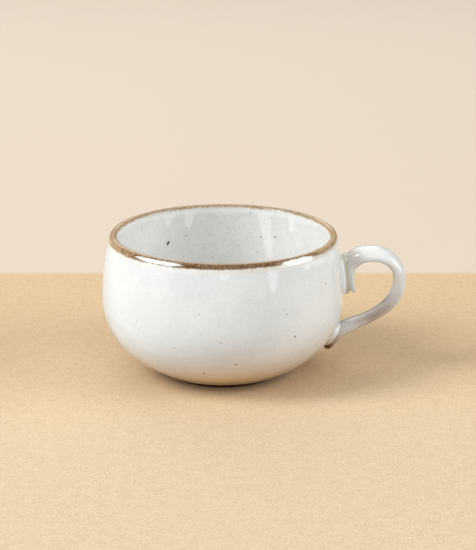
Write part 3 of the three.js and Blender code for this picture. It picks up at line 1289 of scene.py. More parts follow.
@dataclass
class Bowl:
    """The thrown bowl: its clay, its foot ring, its two coats of glaze and its iron-brown lip."""

    axis: float
    section: BowlSection = field(default_factory=BowlSection)
    turns: int = 384
    clay_turns: int = 192
    ring_depth: float = 0.012
    ring_pitch: float = 4.6
    hollow_ring_depth: float = 0.022
    waver: float = 0.12
    rim_lean: float = 0.2
    rim_lift: float = 0.7
    run_thickness: float = 0.1
    run_softness: float = 1.5
    run_band_drop: float = 4.6
    run_band_waver: float = 7.0
    run_band_share: float = 0.75
    run_steps: int = 40
    run_narrowing: float = 0.4
    foot_radius: float = 24.0
    foot_width: float = 4.6
    foot_flare: float = 0.5
    foot_round: float = 0.6
    foot_round_steps: int = 8
    turning_depth: float = 0.05
    turning_pitch: float = 2.1
    turning_steps: int = 48
    glaze_lap: int = 4
    outer_runs: tuple[Run, ...] = (
        Run(-65.8, -66.5, 2.6, 11.5, 3.9, 1.3),
        Run(-89.4, -89.2, 2.6, 5.0, 3.3, 1.7),
        # Painted highlight: this level streak of whiter thick glaze under the lip stands in for a lamp's
        # highlight on the glaze roll.
        Run(-62.0, -47.0, 3.3, 3.2, 0.9, 0.9),
        Run(-46.0, -46.5, 2.6, 4.6, 4.2, 2.0),
        Run(42.0, 43.0, 2.6, 11.0, 2.8, 1.5),
        Run(82.0, 81.5, 2.6, 6.5, 3.0, 1.4),
        Run(118.0, 119.0, 2.6, 13.5, 2.4, 1.5),
        Run(163.0, 162.0, 2.6, 7.0, 3.0, 1.3),
    )
    inner_runs: tuple[Run, ...] = (
        Run(66.5, 63.6, -1.8, -22.0, 4.2, 1.7),
        Run(109.2, 110.4, -1.8, -9.4, 4.2, 1.3),
        Run(122.0, 122.6, -1.8, -6.2, 6.0, 1.6),
        Run(47.5, 48.6, -1.8, -8.8, 3.2, 1.3),
        Run(-30.0, -31.0, -1.8, -12.0, 2.6, 1.4),
        Run(-82.0, -81.0, -1.8, -8.0, 3.0, 1.4),
        Run(-140.0, -141.5, -1.8, -15.0, 2.4, 1.5),
    )

    def build(self) -> tuple[bpy.types.Object, bpy.types.Object]:
        """Makes the bowl's pieces and enters them in the frame.

        Returns:
            The coats of glaze outside and inside, for what sits on them.
        """
        section = self.section
        form = turned_form()
        runs = glaze_runs()
        clay = BareClay().material()
        # Painted shade: the foot ring's clay is darkened for the shade under the bowl's overhang.
        toasted = BareClay(
            "toasted_clay", clay=srgb(88, 62, 40), toasted=srgb(64, 43, 27), sand=srgb(112, 84, 56)
        ).material()
        outside = WhiteGlaze("white_glaze_outside", breaks=True).material()
        inside = WhiteGlaze(
            "white_glaze_inside",
            breaks=True,
            white=srgb(231, 230, 227),
            cool=srgb(222, 222, 218),
            pepper_share=0.65,
        ).material()
        iron = WhiteGlaze("iron_lip", breaks=True, gloss=0.11).material()
        last = len(section.surface) - 1
        body = self.turn(form, "clay_body", self.clay_section(), clay, self.clay_turns)
        enter(body, Slot.CLAY, "clay_bowl")
        foot = self.turn(form, "foot", self.foot_section(), toasted, self.clay_turns)
        enter(foot, Slot.CLAY, "foot_ring")
        coat = section.coat(section.glaze_line, section.band_start)
        outer = self.turn(form, "glaze_outside", coat, outside, self.turns, runs, self.outer_runs)
        enter(outer, Slot.WHITE_GLAZE, "outer_glaze")
        coat = section.coat(section.band_end, last)
        depth = self.hollow_ring_depth
        inner = self.turn(form, "glaze_inside", coat, inside, self.turns, runs, self.inner_runs, depth)
        enter(inner, Slot.WHITE_GLAZE, "inner_glaze")
        coat = section.coat(section.band_start, section.band_end)
        lip = self.turn(form, "lip_iron", coat, iron, self.turns)
        enter(lip, Slot.IRON_BAND, "lip_band")
        return outer, inner

    def turn(
        self,
        form: Recipe,
        name: str,
        rings: Sequence[Ring],
        material: bpy.types.Material,
        turns: int,
        flow: Recipe | None = None,
        runs: Sequence[Run] = (),
        ring_depth: float | None = None,
    ) -> bpy.types.Object:
        """Turns one section.

        Args:
            form: The tree that turns it.
            name: The piece's name.
            rings: The section's points.
            material: The piece's finish.
            turns: Steps round the axis.
            flow: The tree that lets glaze run down it, if it does.
            runs: Those runs.
            ring_depth: Depth of its throwing rings, where it isn't the bowl's usual one.

        Returns:
            The piece, as a plain mesh.
        """
        line = guide(
            name + "_section",
            [Vector((ring.radius, 0.0, ring.height)) * MM for ring in rings],
            numbers={
                "drop": [ring.drop for ring in rings],
                "coat": [ring.coat for ring in rings],
                "thin": [ring.thin for ring in rings],
            },
            vectors={"slant": [Vector((ring.slant[0], 0.0, ring.slant[1])) for ring in rings]},
        )
        piece = new_piece(name)
        values = {
            "Section": line,
            "Rings": len(rings),
            "Turns": turns,
            "Axis": self.axis,
            "Ring Depth": (self.ring_depth if ring_depth is None else ring_depth) * MM,
            "Ring Pitch": self.ring_pitch,
            "Waver": self.waver * MM,
            "Rim Lean": self.rim_lean * MM,
            "Rim Lift": self.rim_lift * MM,
            "Rim Start": self.section.belly_height * MM,
            "Rim End": self.section.rim_height * MM,
            "Material": material,
        }
        form.lay_on(piece, values)
        guides = [line]
        if flow:
            guides.append(self.run_lines(name + "_runs", runs))
            flowing = {
                "Lines": guides[-1],
                "Thickness": self.run_thickness * MM,
                "Softness": self.run_softness * MM,
                "Seam Drop": self.section.seam_drop,
                "Band Drop": self.run_band_drop,
                "Band Waver": self.run_band_waver,
                "Band Share": self.run_band_share,
                "Material": material,
            }
            flow.lay_on(piece, flowing)
        settle(piece)
        drop_guides(*guides)
        return piece

    def spot(self, angle: float, drop: float) -> Vector:
        """A point on the coat.

        Args:
            angle: Degrees round the axis from the handle.
            drop: Distance down from the lip's crest, below 0 inside the cup.

        Returns:
            The point, in metres.
        """
        across = self.section.coat_spot(drop)[0]
        cosine = math.cos(math.radians(angle))
        sine = math.sin(math.radians(angle))
        return Vector((self.axis + across.x * cosine * MM, across.x * sine * MM, across.y * MM))

    def run_lines(self, name: str, runs: Sequence[Run]) -> bpy.types.Object:
        """The lines that the glaze runs down, with its half width at each point.

        Args:
            name: The guide's name.
            runs: The runs.

        Returns:
            The guide.
        """
        places = []
        reaches = []
        for run in runs:
            for step in range(self.run_steps + 1):
                share = step / self.run_steps
                angle = lerp(run.top_angle, run.tip_angle, share)
                drop = lerp(run.top_drop, run.tip_drop, share)
                places.append(self.spot(angle, drop))
                narrowed = share**self.run_narrowing
                reaches.append(lerp(run.top_width, run.tip_width, narrowed) * MM)
        return guide(name, places, numbers={"reach": reaches})

    def clay_section(self) -> list[Ring]:
        """The bare clay's section.

        Returns:
            Its points, from the middle of its underside round to the middle of its floor.
        """
        section = self.section
        inside = self.foot_radius - self.foot_width
        flat = inside - section.recess_depth
        rings = []
        for step in range(self.turning_steps + 1):
            radius = flat * step / self.turning_steps
            mark = math.cos(FULL_TURN * radius / self.turning_pitch) - 1.0
            height = section.foot_height + section.recess_depth - self.turning_depth * mark / 2.0
            rings.append(Ring(radius, height, (0.0, -1.0), 0.0, 0.0))
        rings.append(Ring(inside, section.foot_height, (0.0, -1.0), 0.0, 0.0))
        last = len(section.surface) - 1
        lap = section.glaze_line + self.glaze_lap
        shown = range(lap)
        hidden = [*range(lap, last, section.hidden_step), last]
        rings.extend(section.under(place) for place in [*shown, *hidden])
        return rings

    def foot_section(self) -> list[Ring]:
        """The foot ring's section.

        Returns:
            Its points: flat on the table between two rounded edges, and closed.
        """
        inside = self.foot_radius - self.foot_width
        outside = self.foot_radius
        rounding = self.foot_round
        height = self.section.foot_height
        steps = self.foot_round_steps
        corners = [
            (Vector((inside + rounding, rounding)), math.pi),
            (Vector((outside - rounding, rounding)), 1.5 * math.pi),
        ]
        places = [Vector((inside, height))]
        for centre, start in corners:
            for step in range(steps + 1):
                angle = start + step / steps * QUARTER_TURN
                places.append(BowlSection.on_arc(centre, rounding, angle))
        places.append(Vector((outside + self.foot_flare, height)))
        places.append(places[0])
        return [Ring(place.x, place.y, (0.0, 0.0), 0.0, 0.0) for place in places]


# Handle

@dataclass(frozen=True)
class Bend:
    """One stretch of the strap's middle line, as a Bezier curve in the handle's plane."""

    points: tuple[Vector, ...]

    def place(self, share: float) -> Vector:
        """A point of the curve.

        Args:
            share: Share of the way along the curve's own parameter.

        Returns:
            The point.
        """
        points = list(self.points)
        while len(points) > 1:
            points = [here.lerp(there, share) for here, there in zip(points, points[1:])]
        return points[0]

    def parted(self, share: float) -> tuple[Bend, Bend]:
        """Parts the curve in two.

        Args:
            share: Share of the way along the curve's own parameter.

        Returns:
            The stretches before and after it.
        """
        points = list(self.points)
        before = [points[0]]
        after = [points[-1]]
        while len(points) > 1:
            points = [here.lerp(there, share) for here, there in zip(points, points[1:])]
            before.append(points[0])
            after.append(points[-1])
        return Bend(tuple(before)), Bend(tuple(reversed(after)))

    def walk(self, steps: int) -> list[Vector]:
        """Points at even distances along the curve.

        Args:
            steps: How many equal steps it is walked in.

        Returns:
            One point more than the steps.
        """
        fine = 400
        spots = [self.place(share / fine) for share in range(fine + 1)]
        lengths = run_lengths(spots)
        walked = []
        at = 0
        for step in range(steps + 1):
            wanted = lengths[-1] * step / steps
            while at < fine - 1 and lengths[at + 1] < wanted:
                at += 1
            gap = lengths[at + 1] - lengths[at]
            walked.append(spots[at].lerp(spots[at + 1], (wanted - lengths[at]) / gap))
        return walked


@dataclass(frozen=True)
class Station:
    """The strap's section at one point of its middle line, in millimetres.

    It is an oval whose inner face may be flatter or rounder and whose outer face may be heaped up.
    Thin is the share of the thin-glaze tint there: worn glaze, painted shade on the shoulder and the lower
    sweep, and painted shadow with bare clay at the lower tip.
    """

    centre: Vector
    out: Vector
    deep: float
    wide: float
    flat: float
    heap: float
    thin: float


def pulled_strap() -> Recipe:
    """The tree that draws a strap along its middle line.

    Returns:
        A tree that wraps a grid round the line by its stations' sections, lets it waver as a pulled
        strap does, closes its seam and tips, and keeps where its glaze takes the thin tint, which
        also paints shade on the strap.
    """
    recipe = Recipe(
        "pulled_strap",
        {
            "Line": bpy.types.Object,
            "Stations": int,
            "Sides": int,
            "Waver": float,
            "Edge Wear": float,
            "Inner Wear": float,
            "Outer Wear": float,
            "Material": bpy.types.Material,
        },
    )
    given = recipe.given
    inner_range = (0.1, -0.8)
    outer_range = (0.2, 0.8)
    edge_range = (0.5, 1.0)
    waver_grain = 9.0
    sheet, turn, index = recipe.wrapped_grid(given["Sides"], given["Stations"])
    spot = recipe.node("GeometryNodeInputPosition")[0]
    line = recipe.object("Line")
    centre = recipe.sample(line, spot, index, "FLOAT_VECTOR")
    out = recipe.sample(line, recipe.named("out", "FLOAT_VECTOR"), index, "FLOAT_VECTOR")
    deep = recipe.sample(line, recipe.named("deep"), index)
    wide = recipe.sample(line, recipe.named("wide"), index)
    thin = recipe.sample(line, recipe.named("thin"), index)
    flat = recipe.sample(line, recipe.named("flat"), index)
    cosine = turn.apply("COSINE")
    sine = turn.apply("SINE")
    heap = recipe.sample(line, recipe.named("heap"), index) * recipe.either(sine, 0.0)
    proud = sine * deep + (sine.apply("ABSOLUTE") - 1.0) * flat + heap
    place = centre + out * proud + recipe.vector(0.0, cosine * wide, 0.0)
    # Painted shade: the inner face and the edges take more of the thin tint, for shade there as well as
    # thinner glaze; the outer face takes more of it too.
    inner = sine.eased(*inner_range) * given["Inner Wear"]
    outer = sine.eased(*outer_range) * given["Outer Wear"]
    edge = cosine.apply("ABSOLUTE").eased(*edge_range) * given["Edge Wear"]
    sheet = recipe.store(sheet, "thin", thin * (inner + outer + edge + 1.0))
    form = recipe.node("GeometryNodeSetPosition", {}, {"Geometry": sheet, "Position": place})[0]
    form = recipe.weld(form)
    normal = recipe.node("GeometryNodeInputNormal")[0]
    offset = normal * (recipe.noise(spot, waver_grain, detail=1.0) * 2.0 * given["Waver"])
    form = recipe.node("GeometryNodeSetPosition", {}, {"Geometry": form, "Offset": offset})[0]
    recipe.end(form)
    return recipe


@dataclass
class Handle:
    """The pulled strap handle with its glaze, and the slip that lutes its two ends to the wall."""

    bowl: Bowl
    arch_thickness: float = 5.1
    strap_thickness: float = 4.5
    strap_width: float = 11.6
    crest_drop: float = 8.0
    crest_reach: float = 11.6
    grip_drop: float = 11.2
    grip_reach: float = 23.2
    arch_fullness: float = 0.57
    grip_run: float = 9.6
    root_run: float = 15.4
    root_slope: float = 22.0
    sweep_share: float = 0.72
    sweep_thickness: float = 3.5
    sweep_width: float = 8.2
    shoulder_share: float = 0.42
    shoulder_thickness: float = 4.6
    shoulder_width: float = 10.4
    tail_thickness: float = 1.9
    bend_thickness: float = 2.8
    tail_line: float = 3.55
    tail_width: float = 9.6
    tail_drop: float = 24.2
    tail_bend_drop: float = 15.6
    tail_flick: float = 1.2
    tail_lift_share: float = 0.4
    root_thickness: float = 4.2
    root_width: float = 11.0
    root_height: float = 17.7
    root_reach: float = 4.9
    root_tip_thickness: float = 3.0
    root_tip_width: float = 10.0
    root_tip_drop: float = 6.4
    root_turn_in: float = 2.5
    root_turn_down: float = 3.0
    tip_round: float = 2.6
    slip_thickness: float = 1.5
    press_depth: float = 0.4
    fit_gap: float = 0.3
    inner_flats: tuple[float, ...] = (0.0, 0.4, 1.3, 1.3, 0.3, -0.4, -0.2, 0.0)
    heaps: tuple[float, ...] = (0.0, 0.5, 1.1, 0.0, 0.0, 0.0, 0.0, 0.0)
    # Painted shade: the thin shares darken the shoulder and the lower sweep where shade falls; at the lower
    # tip the share paints shadow together with bare clay.
    thin_and_shade_shares: tuple[float, ...] = (0.0, 0.0, 0.19, 0.0, 0.12, 0.34, 0.1, 0.52)
    edge_wear_and_shade: float = 1.2
    inner_wear_and_shade: float = 0.6
    outer_tint: float = 0.7
    upper_proud: float = 3.0
    upper_spread: float = -1.2
    web_reach: float = 1.2
    web_lean: float = 0.5
    bead_proud: float = 1.1
    bead_spread: float = 1.2
    lower_proud: float = 2.2
    lower_spread: float = 2.0
    lower_trim: float = 2.4
    web_steepness: float = 2.0
    web_start: float = 0.6
    pad_sunk: float = 0.15
    pad_belly: float = 0.15
    pad_squareness: float = 2.5
    pad_fullness: float = 8.0
    pad_rings: int = 18
    pad_sides: int = 72
    steps: int = 40
    turn_steps: int = 12
    smoothings: int = 12
    sides: int = 64
    waver: float = 0.1

    def beside_wall(self, height: float, distance: float) -> Vector:
        """A point beside the bare wall.

        Args:
            height: Height of the wall's nearest point.
            distance: Distance from that point, out along the wall's normal.

        Returns:
            The point in the handle's plane.
        """
        probe = 0.01
        section = self.bowl.section
        spread = section.wall_radius(height + probe) - section.wall_radius(height - probe)
        normal = Vector((2.0 * probe, -spread)).normalized()
        return Vector((section.wall_radius(height), height)) + normal * distance

    def quarter(self, upright: Vector, level: Vector) -> tuple[Vector, ...]:
        """A quarter turn from an upright run to a level one.

        Args:
            upright: Its upright end.
            level: Its level end.

        Returns:
            The points of its Bezier curve.
        """
        first = Vector((upright.x, lerp(upright.y, level.y, self.arch_fullness)))
        second = Vector((lerp(level.x, upright.x, self.arch_fullness), level.y))
        return (upright, first, second, level)

    def bends(self) -> list[Bend]:
        """The strap's middle line.

        Returns:
            Its stretches, from the tip of its tail over the arch to the tip of its root.
        """
        section = self.bowl.section
        seat = self.slip_thickness + self.fit_gap
        root_line = seat + self.root_tip_thickness / 2.0 - self.press_depth
        rim = section.rim_height
        belly = section.belly_radius
        tail_tip = self.beside_wall(rim - self.tail_drop, self.tail_line + self.tail_flick)
        tail_bend = self.beside_wall(rim - self.tail_bend_drop, self.tail_line)
        lift_height = lerp(tail_tip.y, tail_bend.y, self.tail_lift_share)
        tail_lift = self.beside_wall(lift_height, self.tail_line)
        crest = Vector((belly + self.crest_reach, rim - self.crest_drop))
        grip = Vector((belly + self.grip_reach, crest.y - self.grip_drop))
        root = Vector((section.wall_radius(self.root_height) + self.root_reach, self.root_height))
        root_tip = self.beside_wall(self.root_height - self.root_tip_drop, root_line)
        slope = math.radians(self.root_slope)
        root_way = Vector((-math.cos(slope), -math.sin(slope)))
        above_tip = self.beside_wall(root_tip.y + self.root_turn_down, root_line)
        wall_way = (root_tip - above_tip).normalized()
        sweep = Bend((grip, grip - Vector((0.0, self.grip_run)), root - root_way * self.root_run, root))
        return [
            Bend((tail_tip, tail_lift, tail_bend)),
            *Bend(self.quarter(tail_bend, crest)).parted(self.shoulder_share),
            Bend(tuple(reversed(self.quarter(grip, crest)))),
            *sweep.parted(self.sweep_share),
            Bend(
                (
                    root,
                    root + root_way * self.root_turn_in,
                    root_tip - wall_way * self.root_turn_down,
                    root_tip,
                )
            ),
        ]

    def stations(self) -> list[Station]:
        """The glazed strap's sections along its line.

        Returns:
            The sections, closing in a quarter round at both tips.
        """
        coat = self.bowl.section.coat_thickness
        thicknesses = (
            self.tail_thickness,
            self.bend_thickness,
            self.shoulder_thickness,
            self.arch_thickness,
            self.strap_thickness,
            self.sweep_thickness,
            self.root_thickness,
            self.root_tip_thickness,
        )
        widths = (
            self.tail_width,
            self.tail_width,
            self.shoulder_width,
            self.strap_width,
            self.strap_width,
            self.sweep_width,
            self.root_width,
            self.root_tip_width,
        )
        profiles = (thicknesses, widths, self.inner_flats, self.heaps, self.thin_and_shade_shares)
        spots: list[Vector] = []
        sizes: list[tuple[float, ...]] = []
        bends = self.bends()
        for place, bend in enumerate(bends):
            walked = bend.walk(self.steps)
            for step, spot in enumerate(walked[: None if bend is bends[-1] else -1]):
                share = smoothstep(step / self.steps)
                spots.append(spot)
                sizes.append(
                    tuple(lerp(values[place], values[place + 1], share) for values in profiles)
                )
        for _ in range(self.smoothings):
            inner = [
                (before + here * 2.0 + after) / 4.0
                for before, here, after in zip(spots, spots[1:], spots[2:])
            ]
            spots = [spots[0], *inner, spots[-1]]
        lengths = run_lengths(spots)
        made = []
        for place, (spot, (thick, wide, flat, heap, thin)) in enumerate(zip(spots, sizes)):
            before = max(place - self.turn_steps, 0)
            after = min(place + self.turn_steps, len(spots) - 1)
            along = (spots[after] - spots[before]).normalized()
            to_tip = min(lengths[place], lengths[-1] - lengths[place])
            closing = max(1.0 - to_tip / self.tip_round, 0.0)
            full = math.sqrt(1.0 - closing**2)
            tail = lengths[place] < self.tip_round
            centre = spot + along * (coat * closing * (-1.0 if tail else 1.0))
            out = Vector((-along.y, along.x))
            deep = full * (thick / 2.0 + coat)
            half_wide = full * (wide / 2.0 + coat)
            made.append(Station(centre, out, deep, half_wide, flat * full, heap * full, thin))
        return made

    def build(self) -> None:
        """Makes the strap and the slip at its joints and enters them in the frame."""
        glaze = WhiteGlaze("white_glaze_handle", breaks=False).material()
        axis = self.bowl.axis
        stations = self.stations()
        line = guide(
            "strap_line",
            [Vector((axis + here.centre.x * MM, 0.0, here.centre.y * MM)) for here in stations],
            numbers={
                "deep": [here.deep * MM for here in stations],
                "wide": [here.wide * MM for here in stations],
                "flat": [here.flat * MM for here in stations],
                "heap": [here.heap * MM for here in stations],
                "thin": [here.thin for here in stations],
            },
            vectors={"out": [Vector((here.out.x, 0.0, here.out.y)) for here in stations]},
        )
        strap = new_piece("handle")
        values = {
            "Line": line,
            "Stations": len(stations),
            "Sides": self.sides,
            "Waver": self.waver * MM,
            "Edge Wear": self.edge_wear_and_shade,
            "Inner Wear": self.inner_wear_and_shade,
            "Outer Wear": self.outer_tint,
            "Material": glaze,
        }
        pulled_strap().lay_on(strap, values)
        settle(strap)
        drop_guides(line)
        enter(strap, Slot.WHITE_GLAZE, "handle_strap", "handle_glaze")
        # Painted shade: the upper slip's glaze is greyer and yellower, for the shade in the joint under the
        # arch.
        shaded_slip = WhiteGlaze(
            "upper_slip_glaze", breaks=False, white=srgb(226, 222, 206), cool=srgb(208, 204, 186)
        )
        bead = WhiteGlaze("lower_slip_glaze", breaks=False, white=srgb(236, 236, 234))
        upper = self.slip_pad(
            "upper_joint", "upper_slip", self.upper_proud, self.upper_spread, web=self.web_reach
        )
        lower = self.slip_pad(
            "lower_joint", "lower_slip", self.lower_proud, self.lower_spread, trim=self.lower_trim
        )
        ridge = self.slip_pad("upper_bead", "upper_slip", self.bead_proud, self.bead_spread)
        squeezed = bead.material()
        upper.data.materials.append(shaded_slip.material())
        ridge.data.materials.append(squeezed)
        lower.data.materials.append(squeezed)
        enter(upper, Slot.SLIP, "upper_slip")
        enter(lower, Slot.SLIP, "lower_slip")
        enter(ridge, Slot.SLIP)

    def slip_pad(
        self, name: str, node: str, proud: float, spread: float, web: float = 0.0, trim: float = 0.0
    ) -> bpy.types.Object:
        """A pad of slip on the wall, in the place of its CAD node.

        Args:
            name: The pad's name.
            node: The node that gives its place and size.
            proud: How far it stands off the glaze, in millimetres.
            spread: How far it reaches past the node at each side, below 0 where it stays inside.
            web: How much further it stands off at its top, where it leans up under the arch.
            trim: How far its lower end stays above the node's.

        Returns:
            The pad: a low dome with a rounded rim that is sunk a little into the glaze.
        """
        sunk = self.pad_sunk
        sides = self.pad_sides
        power = 2.0 / self.pad_squareness
        low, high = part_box(node)
        section = self.bowl.section
        top = section.outside_drop(high.z / MM)
        bottom = section.outside_drop(low.z / MM + trim)
        half_wide = (high.y - low.y) / MM / 2.0 + spread
        half_tall = (bottom - top) / 2.0
        places: list[Vector] = []
        faces: list[tuple[int, ...]] = []

        def add(share: float, angle: float, lift: float) -> None:
            """Adds a point of the pad.

            Args:
                share: Share of the way out from the middle of its footprint.
                angle: Angle round that middle.
                lift: How far it is lifted off the glaze.
            """
            cosine = math.cos(angle)
            sine = math.sin(angle)
            across = half_wide * share * math.copysign(abs(cosine) ** power, cosine)
            up = half_tall * share * math.copysign(abs(sine) ** power, sine)
            spot, side = section.coat_spot((top + bottom) / 2.0 - up)
            turn = across / spot.x
            above = smoothstep(up / half_tall * self.web_steepness - self.web_start) if web else 0.0
            lift *= 1.0 + above * web / proud
            reach = spot.x + side.x * lift
            rise = spot.y + side.y * lift + above * self.web_lean * lift
            place = Vector((reach * math.cos(turn), reach * math.sin(turn), rise)) * MM
            places.append(place + Vector((self.bowl.axis, 0.0, 0.0)))

        rings = range(1, self.pad_rings + 1)
        shares = [math.sin(ring / self.pad_rings * QUARTER_TURN) for ring in rings]
        add(0.0, 0.0, proud)
        for share in shares:
            lift = (proud + sunk) * max(1.0 - share**self.pad_fullness, 0.0) ** 0.5 - sunk
            for side in range(sides):
                add(share, FULL_TURN * side / sides, lift)
        for share in reversed(shares[:-1]):
            for side in range(sides):
                add(share, FULL_TURN * side / sides, -sunk - self.pad_belly * (1.0 - share**2))
        add(0.0, 0.0, -sunk - self.pad_belly)
        loops = 2 * len(shares) - 1
        end = len(places) - 1
        for side in range(sides):
            after = (side + 1) % sides
            faces.append((0, 1 + side, 1 + after))
            for loop in range(loops - 1):
                here = 1 + loop * sides
                ahead = here + sides
                faces.append((here + side, ahead + side, ahead + after, here + after))
            brim = 1 + (loops - 1) * sides
            faces.append((end, brim + after, brim + side))
        pad = new_piece(name)
        pad.data.from_pydata(places, [], faces)
        pad.data.shade_smooth()
        return settle(pad)


# Specks

@dataclass(frozen=True)
class Speck:
    """An iron speck on the bowl: degrees round from the handle, drop and size in millimetres.

    Veil is the share of it that the glaze hides, stretch is its length over its width.
    """

    angle: float
    drop: float
    size: float
    veil: float = 0.0
    stretch: float = 1.0


def speck_scatter() -> Recipe:
    """The tree that sets specks into the glaze.

    Returns:
        A tree that puts a low dome on each chosen point, and on a few random ones on the sides of the
        grounds that the chosen points leave bare.
    """
    recipe = Recipe(
        "speck_scatter",
        {
            "Chosen": bpy.types.Object,
            "Ground": bpy.types.Object,
            "Hollow": bpy.types.Object,
            "Density": float,
            "Size": float,
            "Seed": int,
            "Material": bpy.types.Material,
        },
    )
    given = recipe.given
    flatness = 0.16
    bare_from = 0.15
    least_size = 0.35
    veil_seed = 9
    ball = {"Segments": 10, "Rings": 6, "Radius": 0.5}
    dome = recipe.node("GeometryNodeMeshUVSphere", {}, ball)["Mesh"]
    low = {"Geometry": dome, "Scale": (1.0, 1.0, flatness)}
    dome = recipe.node("GeometryNodeTransform", {}, low)[0]
    chosen = recipe.object("Chosen")
    facing = {"Vector": recipe.named("facing", "FLOAT_VECTOR")}
    turned = recipe.node("FunctionNodeAlignRotationToVector", {"axis": "Z"}, facing)[0]
    size = recipe.named("size")
    stretch = recipe.named("stretch")
    points = {
        "Points": chosen,
        "Instance": dome,
        "Rotation": turned,
        "Scale": recipe.vector(size, size * stretch, size),
    }
    marked = recipe.node("GeometryNodeInstanceOnPoints", {}, points)[0]
    grounds = [marked]
    away = recipe.node("GeometryNodeInputNormal")[0].part("Y")
    bare = recipe.combine("GREATER_THAN", away, bare_from)
    for offset, label in enumerate(("Ground", "Hollow")):
        field_of = {
            "Mesh": recipe.object(label),
            "Selection": bare * recipe.named("coat"),
            "Density": given["Density"],
            "Seed": given["Seed"] + offset,
        }
        strewn = recipe.node("GeometryNodeDistributePointsOnFaces", {}, field_of)
        spread = {"Min": least_size, "Max": 1.0, "Seed": given["Seed"] + offset}
        drawn = recipe.node("FunctionNodeRandomValue", {"data_type": "FLOAT"}, spread)["Value"]
        hiding = {"Seed": given["Seed"] + veil_seed}
        veil = recipe.node("FunctionNodeRandomValue", {"data_type": "FLOAT"}, hiding)["Value"]
        cloud = recipe.store(strewn["Points"], "veil", veil)
        strew = {
            "Points": cloud,
            "Instance": dome,
            "Rotation": strewn["Rotation"],
            "Scale": drawn * given["Size"],
        }
        grounds.append(recipe.node("GeometryNodeInstanceOnPoints", {}, strew)[0])
    join = recipe.node("GeometryNodeJoinGeometry")
    for ground in reversed(grounds):
        recipe.data.links.new(ground.socket, join.made.inputs[0])
    recipe.end(recipe.node("GeometryNodeSetShadeSmooth", {}, {"Geometry": join[0]})[0])
    return recipe


@dataclass
class Specks:
    """The iron specks of the bowl, the larger ones one by one and the rest strewn."""

    bowl: Bowl
    density: float = 2600.0
    size: float = 0.62
    seed: int = 11
    outside: tuple[Speck, ...] = (
        Speck(-100.8, 20.1, 0.55, 0.65),
        Speck(-55.2, 31.7, 0.75, 0.2),
        Speck(-83.7, 42.1, 0.85, 0.3, 0.8),
        Speck(-100.3, 48.8, 0.85, 0.3),
        Speck(-90.9, 31.5, 0.6, 0.8),
        Speck(-59.9, 21.9, 0.55, 0.75),
        Speck(-33.5, 14.4, 0.6, 0.45, 1.5),
        Speck(-30.9, 31.7, 0.6, 0.75),
        Speck(-6.4, 11.0, 0.8, 0.3, 1.4),
        Speck(-112.6, 35.1, 0.5, 0.7),
        Speck(-78.0, 14.5, 0.4, 0.9),
        Speck(-133.0, 27.0, 0.5, 0.75),
        Speck(-47.0, 40.0, 0.5, 0.75),
    )
    inside: tuple[Speck, ...] = (
        Speck(121.7, -16.0, 1.1, 0.05, 2.1),
        Speck(110.9, -13.5, 0.65, 0.5),
        Speck(111.1, -9.9, 0.6, 0.65),
        Speck(141.2, -6.6, 0.55, 0.65),
        Speck(68.5, -14.2, 0.7, 0.5),
        Speck(60.1, -13.5, 0.8, 0.25),
        Speck(74.2, -3.6, 0.6, 0.6),
        Speck(71.0, -21.1, 0.6, 0.75),
        Speck(102.4, -8.1, 0.5, 0.8),
        Speck(84.0, -11.0, 0.45, 0.85),
        Speck(96.0, -24.0, 0.5, 0.8),
        Speck(50.0, -19.0, 0.5, 0.8),
    )

    def build(self, outer: bpy.types.Object, inner: bpy.types.Object) -> None:
        """Makes the specks and enters them in the frame.

        Args:
            outer: The glaze outside.
            inner: The glaze inside.
        """
        places = []
        facings = []
        specks = [*self.outside, *self.inside]
        grounds = [outer] * len(self.outside) + [inner] * len(self.inside)
        for speck, ground in zip(specks, grounds):
            near = self.bowl.spot(speck.angle, speck.drop)
            _, place, facing, _ = ground.closest_point_on_mesh(near)
            places.append(place)
            facings.append(facing)
        chosen = guide(
            "chosen_specks",
            places,
            numbers={
                "size": [speck.size * MM for speck in specks],
                "veil": [speck.veil for speck in specks],
                "stretch": [speck.stretch for speck in specks],
            },
            vectors={"facing": facings},
        )
        piece = new_piece("iron_specks")
        values = {
            "Chosen": chosen,
            "Ground": outer,
            "Hollow": inner,
            "Density": self.density,
            "Size": self.size * MM,
            "Seed": self.seed,
            "Material": IronSpeck().material(),
        }
        speck_scatter().lay_on(piece, values)
        settle(piece)
        drop_guides(chosen)
        enter(piece, Slot.IRON_BAND)


# Stage

@dataclass(frozen=True)
class Lamp:
    """A soft lamp: the direction of it from the cup, its size in metres and its power in watts."""

    name: str
    way: tuple[float, float, float]
    size: tuple[float, float]
    power: float
    colour: tuple[float, float, float] = (1.0, 1.0, 1.0)


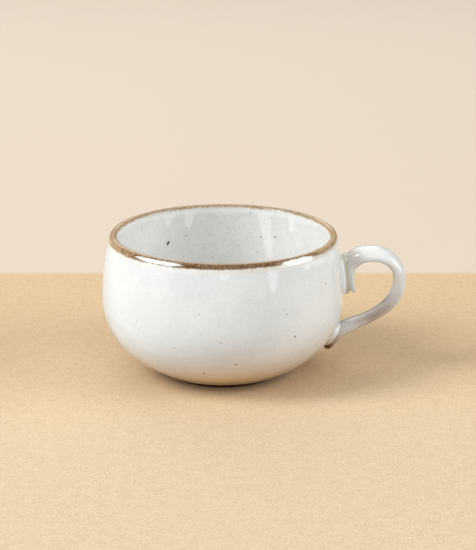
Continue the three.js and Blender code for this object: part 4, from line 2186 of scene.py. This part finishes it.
@dataclass
class Studio:
    """The paper that the cup stands on, a window and soft lamps round it, and the camera."""

    axis: float
    floor_size: float = 6.0
    floor_drop: float = 0.05
    look_height: float = 30.0
    distance: float = 700.0
    elevation: float = 17.4
    lens: float = 112.48
    sensor: float = 36.0
    shift: tuple[float, float] = (0.0272, 0.0419)
    fill: float = 0.01
    fill_colour: Colour = (1.0, 0.985, 0.965, 1.0)
    lamp_distance: float = 2.4
    lamps: tuple[Lamp, ...] = (
        Lamp("window_high", (-0.66, -0.24, 0.71), (0.8, 1.1), 30.0, DAYLIGHT),
        Lamp("window_low", (-0.85, -0.30, 0.38), (1.4, 1.4), 30.5, DAYLIGHT),
        Lamp("side_lamp", (0.85, -0.20, 0.40), (1.6, 1.6), 37.0),
        Lamp("front_lamp", (0.05, -0.72, 0.72), (2.4, 2.4), 21.5),
        Lamp("top_lamp", (0.05, 0.30, 1.0), (2.0, 2.0), 11.0),
        Lamp("back_lamp", (-0.1, 0.8, 0.6), (1.8, 1.5), 14.0),
    )

    def build(self) -> None:
        """Sets up the stage."""
        self.lay_floor()
        for lamp in self.lamps:
            self.hang(lamp)
        self.fill_room()
        self.set_camera()
        bpy.context.scene.view_settings.view_transform = "Standard"

    def lay_floor(self) -> None:
        """Lays the paper just below the foot."""
        half = self.floor_size / 2.0
        low = -self.floor_drop * MM
        corners = [(-half, -half, low), (half, -half, low), (half, half, low), (-half, half, low)]
        floor = new_piece("floor")
        floor.data.from_pydata(corners, [], [(0, 1, 2, 3)])
        floor.data.materials.append(Paper().material())

    def hang(self, lamp: Lamp) -> None:
        """Hangs a lamp, facing the cup.

        Args:
            lamp: The lamp.
        """
        light = bpy.data.lights.new(lamp.name, "AREA")
        light.shape = "RECTANGLE"
        light.size, light.size_y = lamp.size
        light.energy = lamp.power
        light.color = lamp.colour
        hung = bpy.data.objects.new(lamp.name, light)
        way = Vector(lamp.way).normalized()
        hung.location = Vector((self.axis, 0.0, self.look_height * MM)) + way * self.lamp_distance
        hung.rotation_euler = way.to_track_quat("Z", "Y").to_euler()
        bpy.context.scene.collection.objects.link(hung)

    def fill_room(self) -> None:
        """Fills the room with even light."""
        world = bpy.data.worlds.new("room")
        world.use_nodes = True
        backdrop = world.node_tree.nodes["Background"]
        backdrop.inputs["Color"].default_value = self.fill_colour
        backdrop.inputs["Strength"].default_value = self.fill
        bpy.context.scene.world = world

    def set_camera(self) -> None:
        """Puts the camera at the photograph's viewing angle, for an image of 476 by 550."""
        view = bpy.data.cameras.new("camera")
        view.lens = self.lens
        view.sensor_width = self.sensor
        view.shift_x, view.shift_y = self.shift
        tilt = math.radians(self.elevation)
        away = Vector((0.0, -math.cos(tilt), math.sin(tilt))) * self.distance * MM
        camera = bpy.data.objects.new("camera", view)
        camera.location = Vector((self.axis, 0.0, self.look_height * MM)) + away
        camera.rotation_euler = away.to_track_quat("Z", "Y").to_euler()
        bpy.context.scene.collection.objects.link(camera)
        bpy.context.scene.camera = camera


def main() -> None:
    """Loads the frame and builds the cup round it."""
    logging.basicConfig(level=logging.INFO, format="%(name)s: %(message)s")
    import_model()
    low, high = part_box("clay_bowl")
    axis = (low.x + high.x) / 2.0
    Studio(axis).build()
    bowl = Bowl(axis)
    outer, inner = bowl.build()
    Handle(bowl).build()
    Specks(bowl).build(outer, inner)


if __name__ == "__main__":
    main()
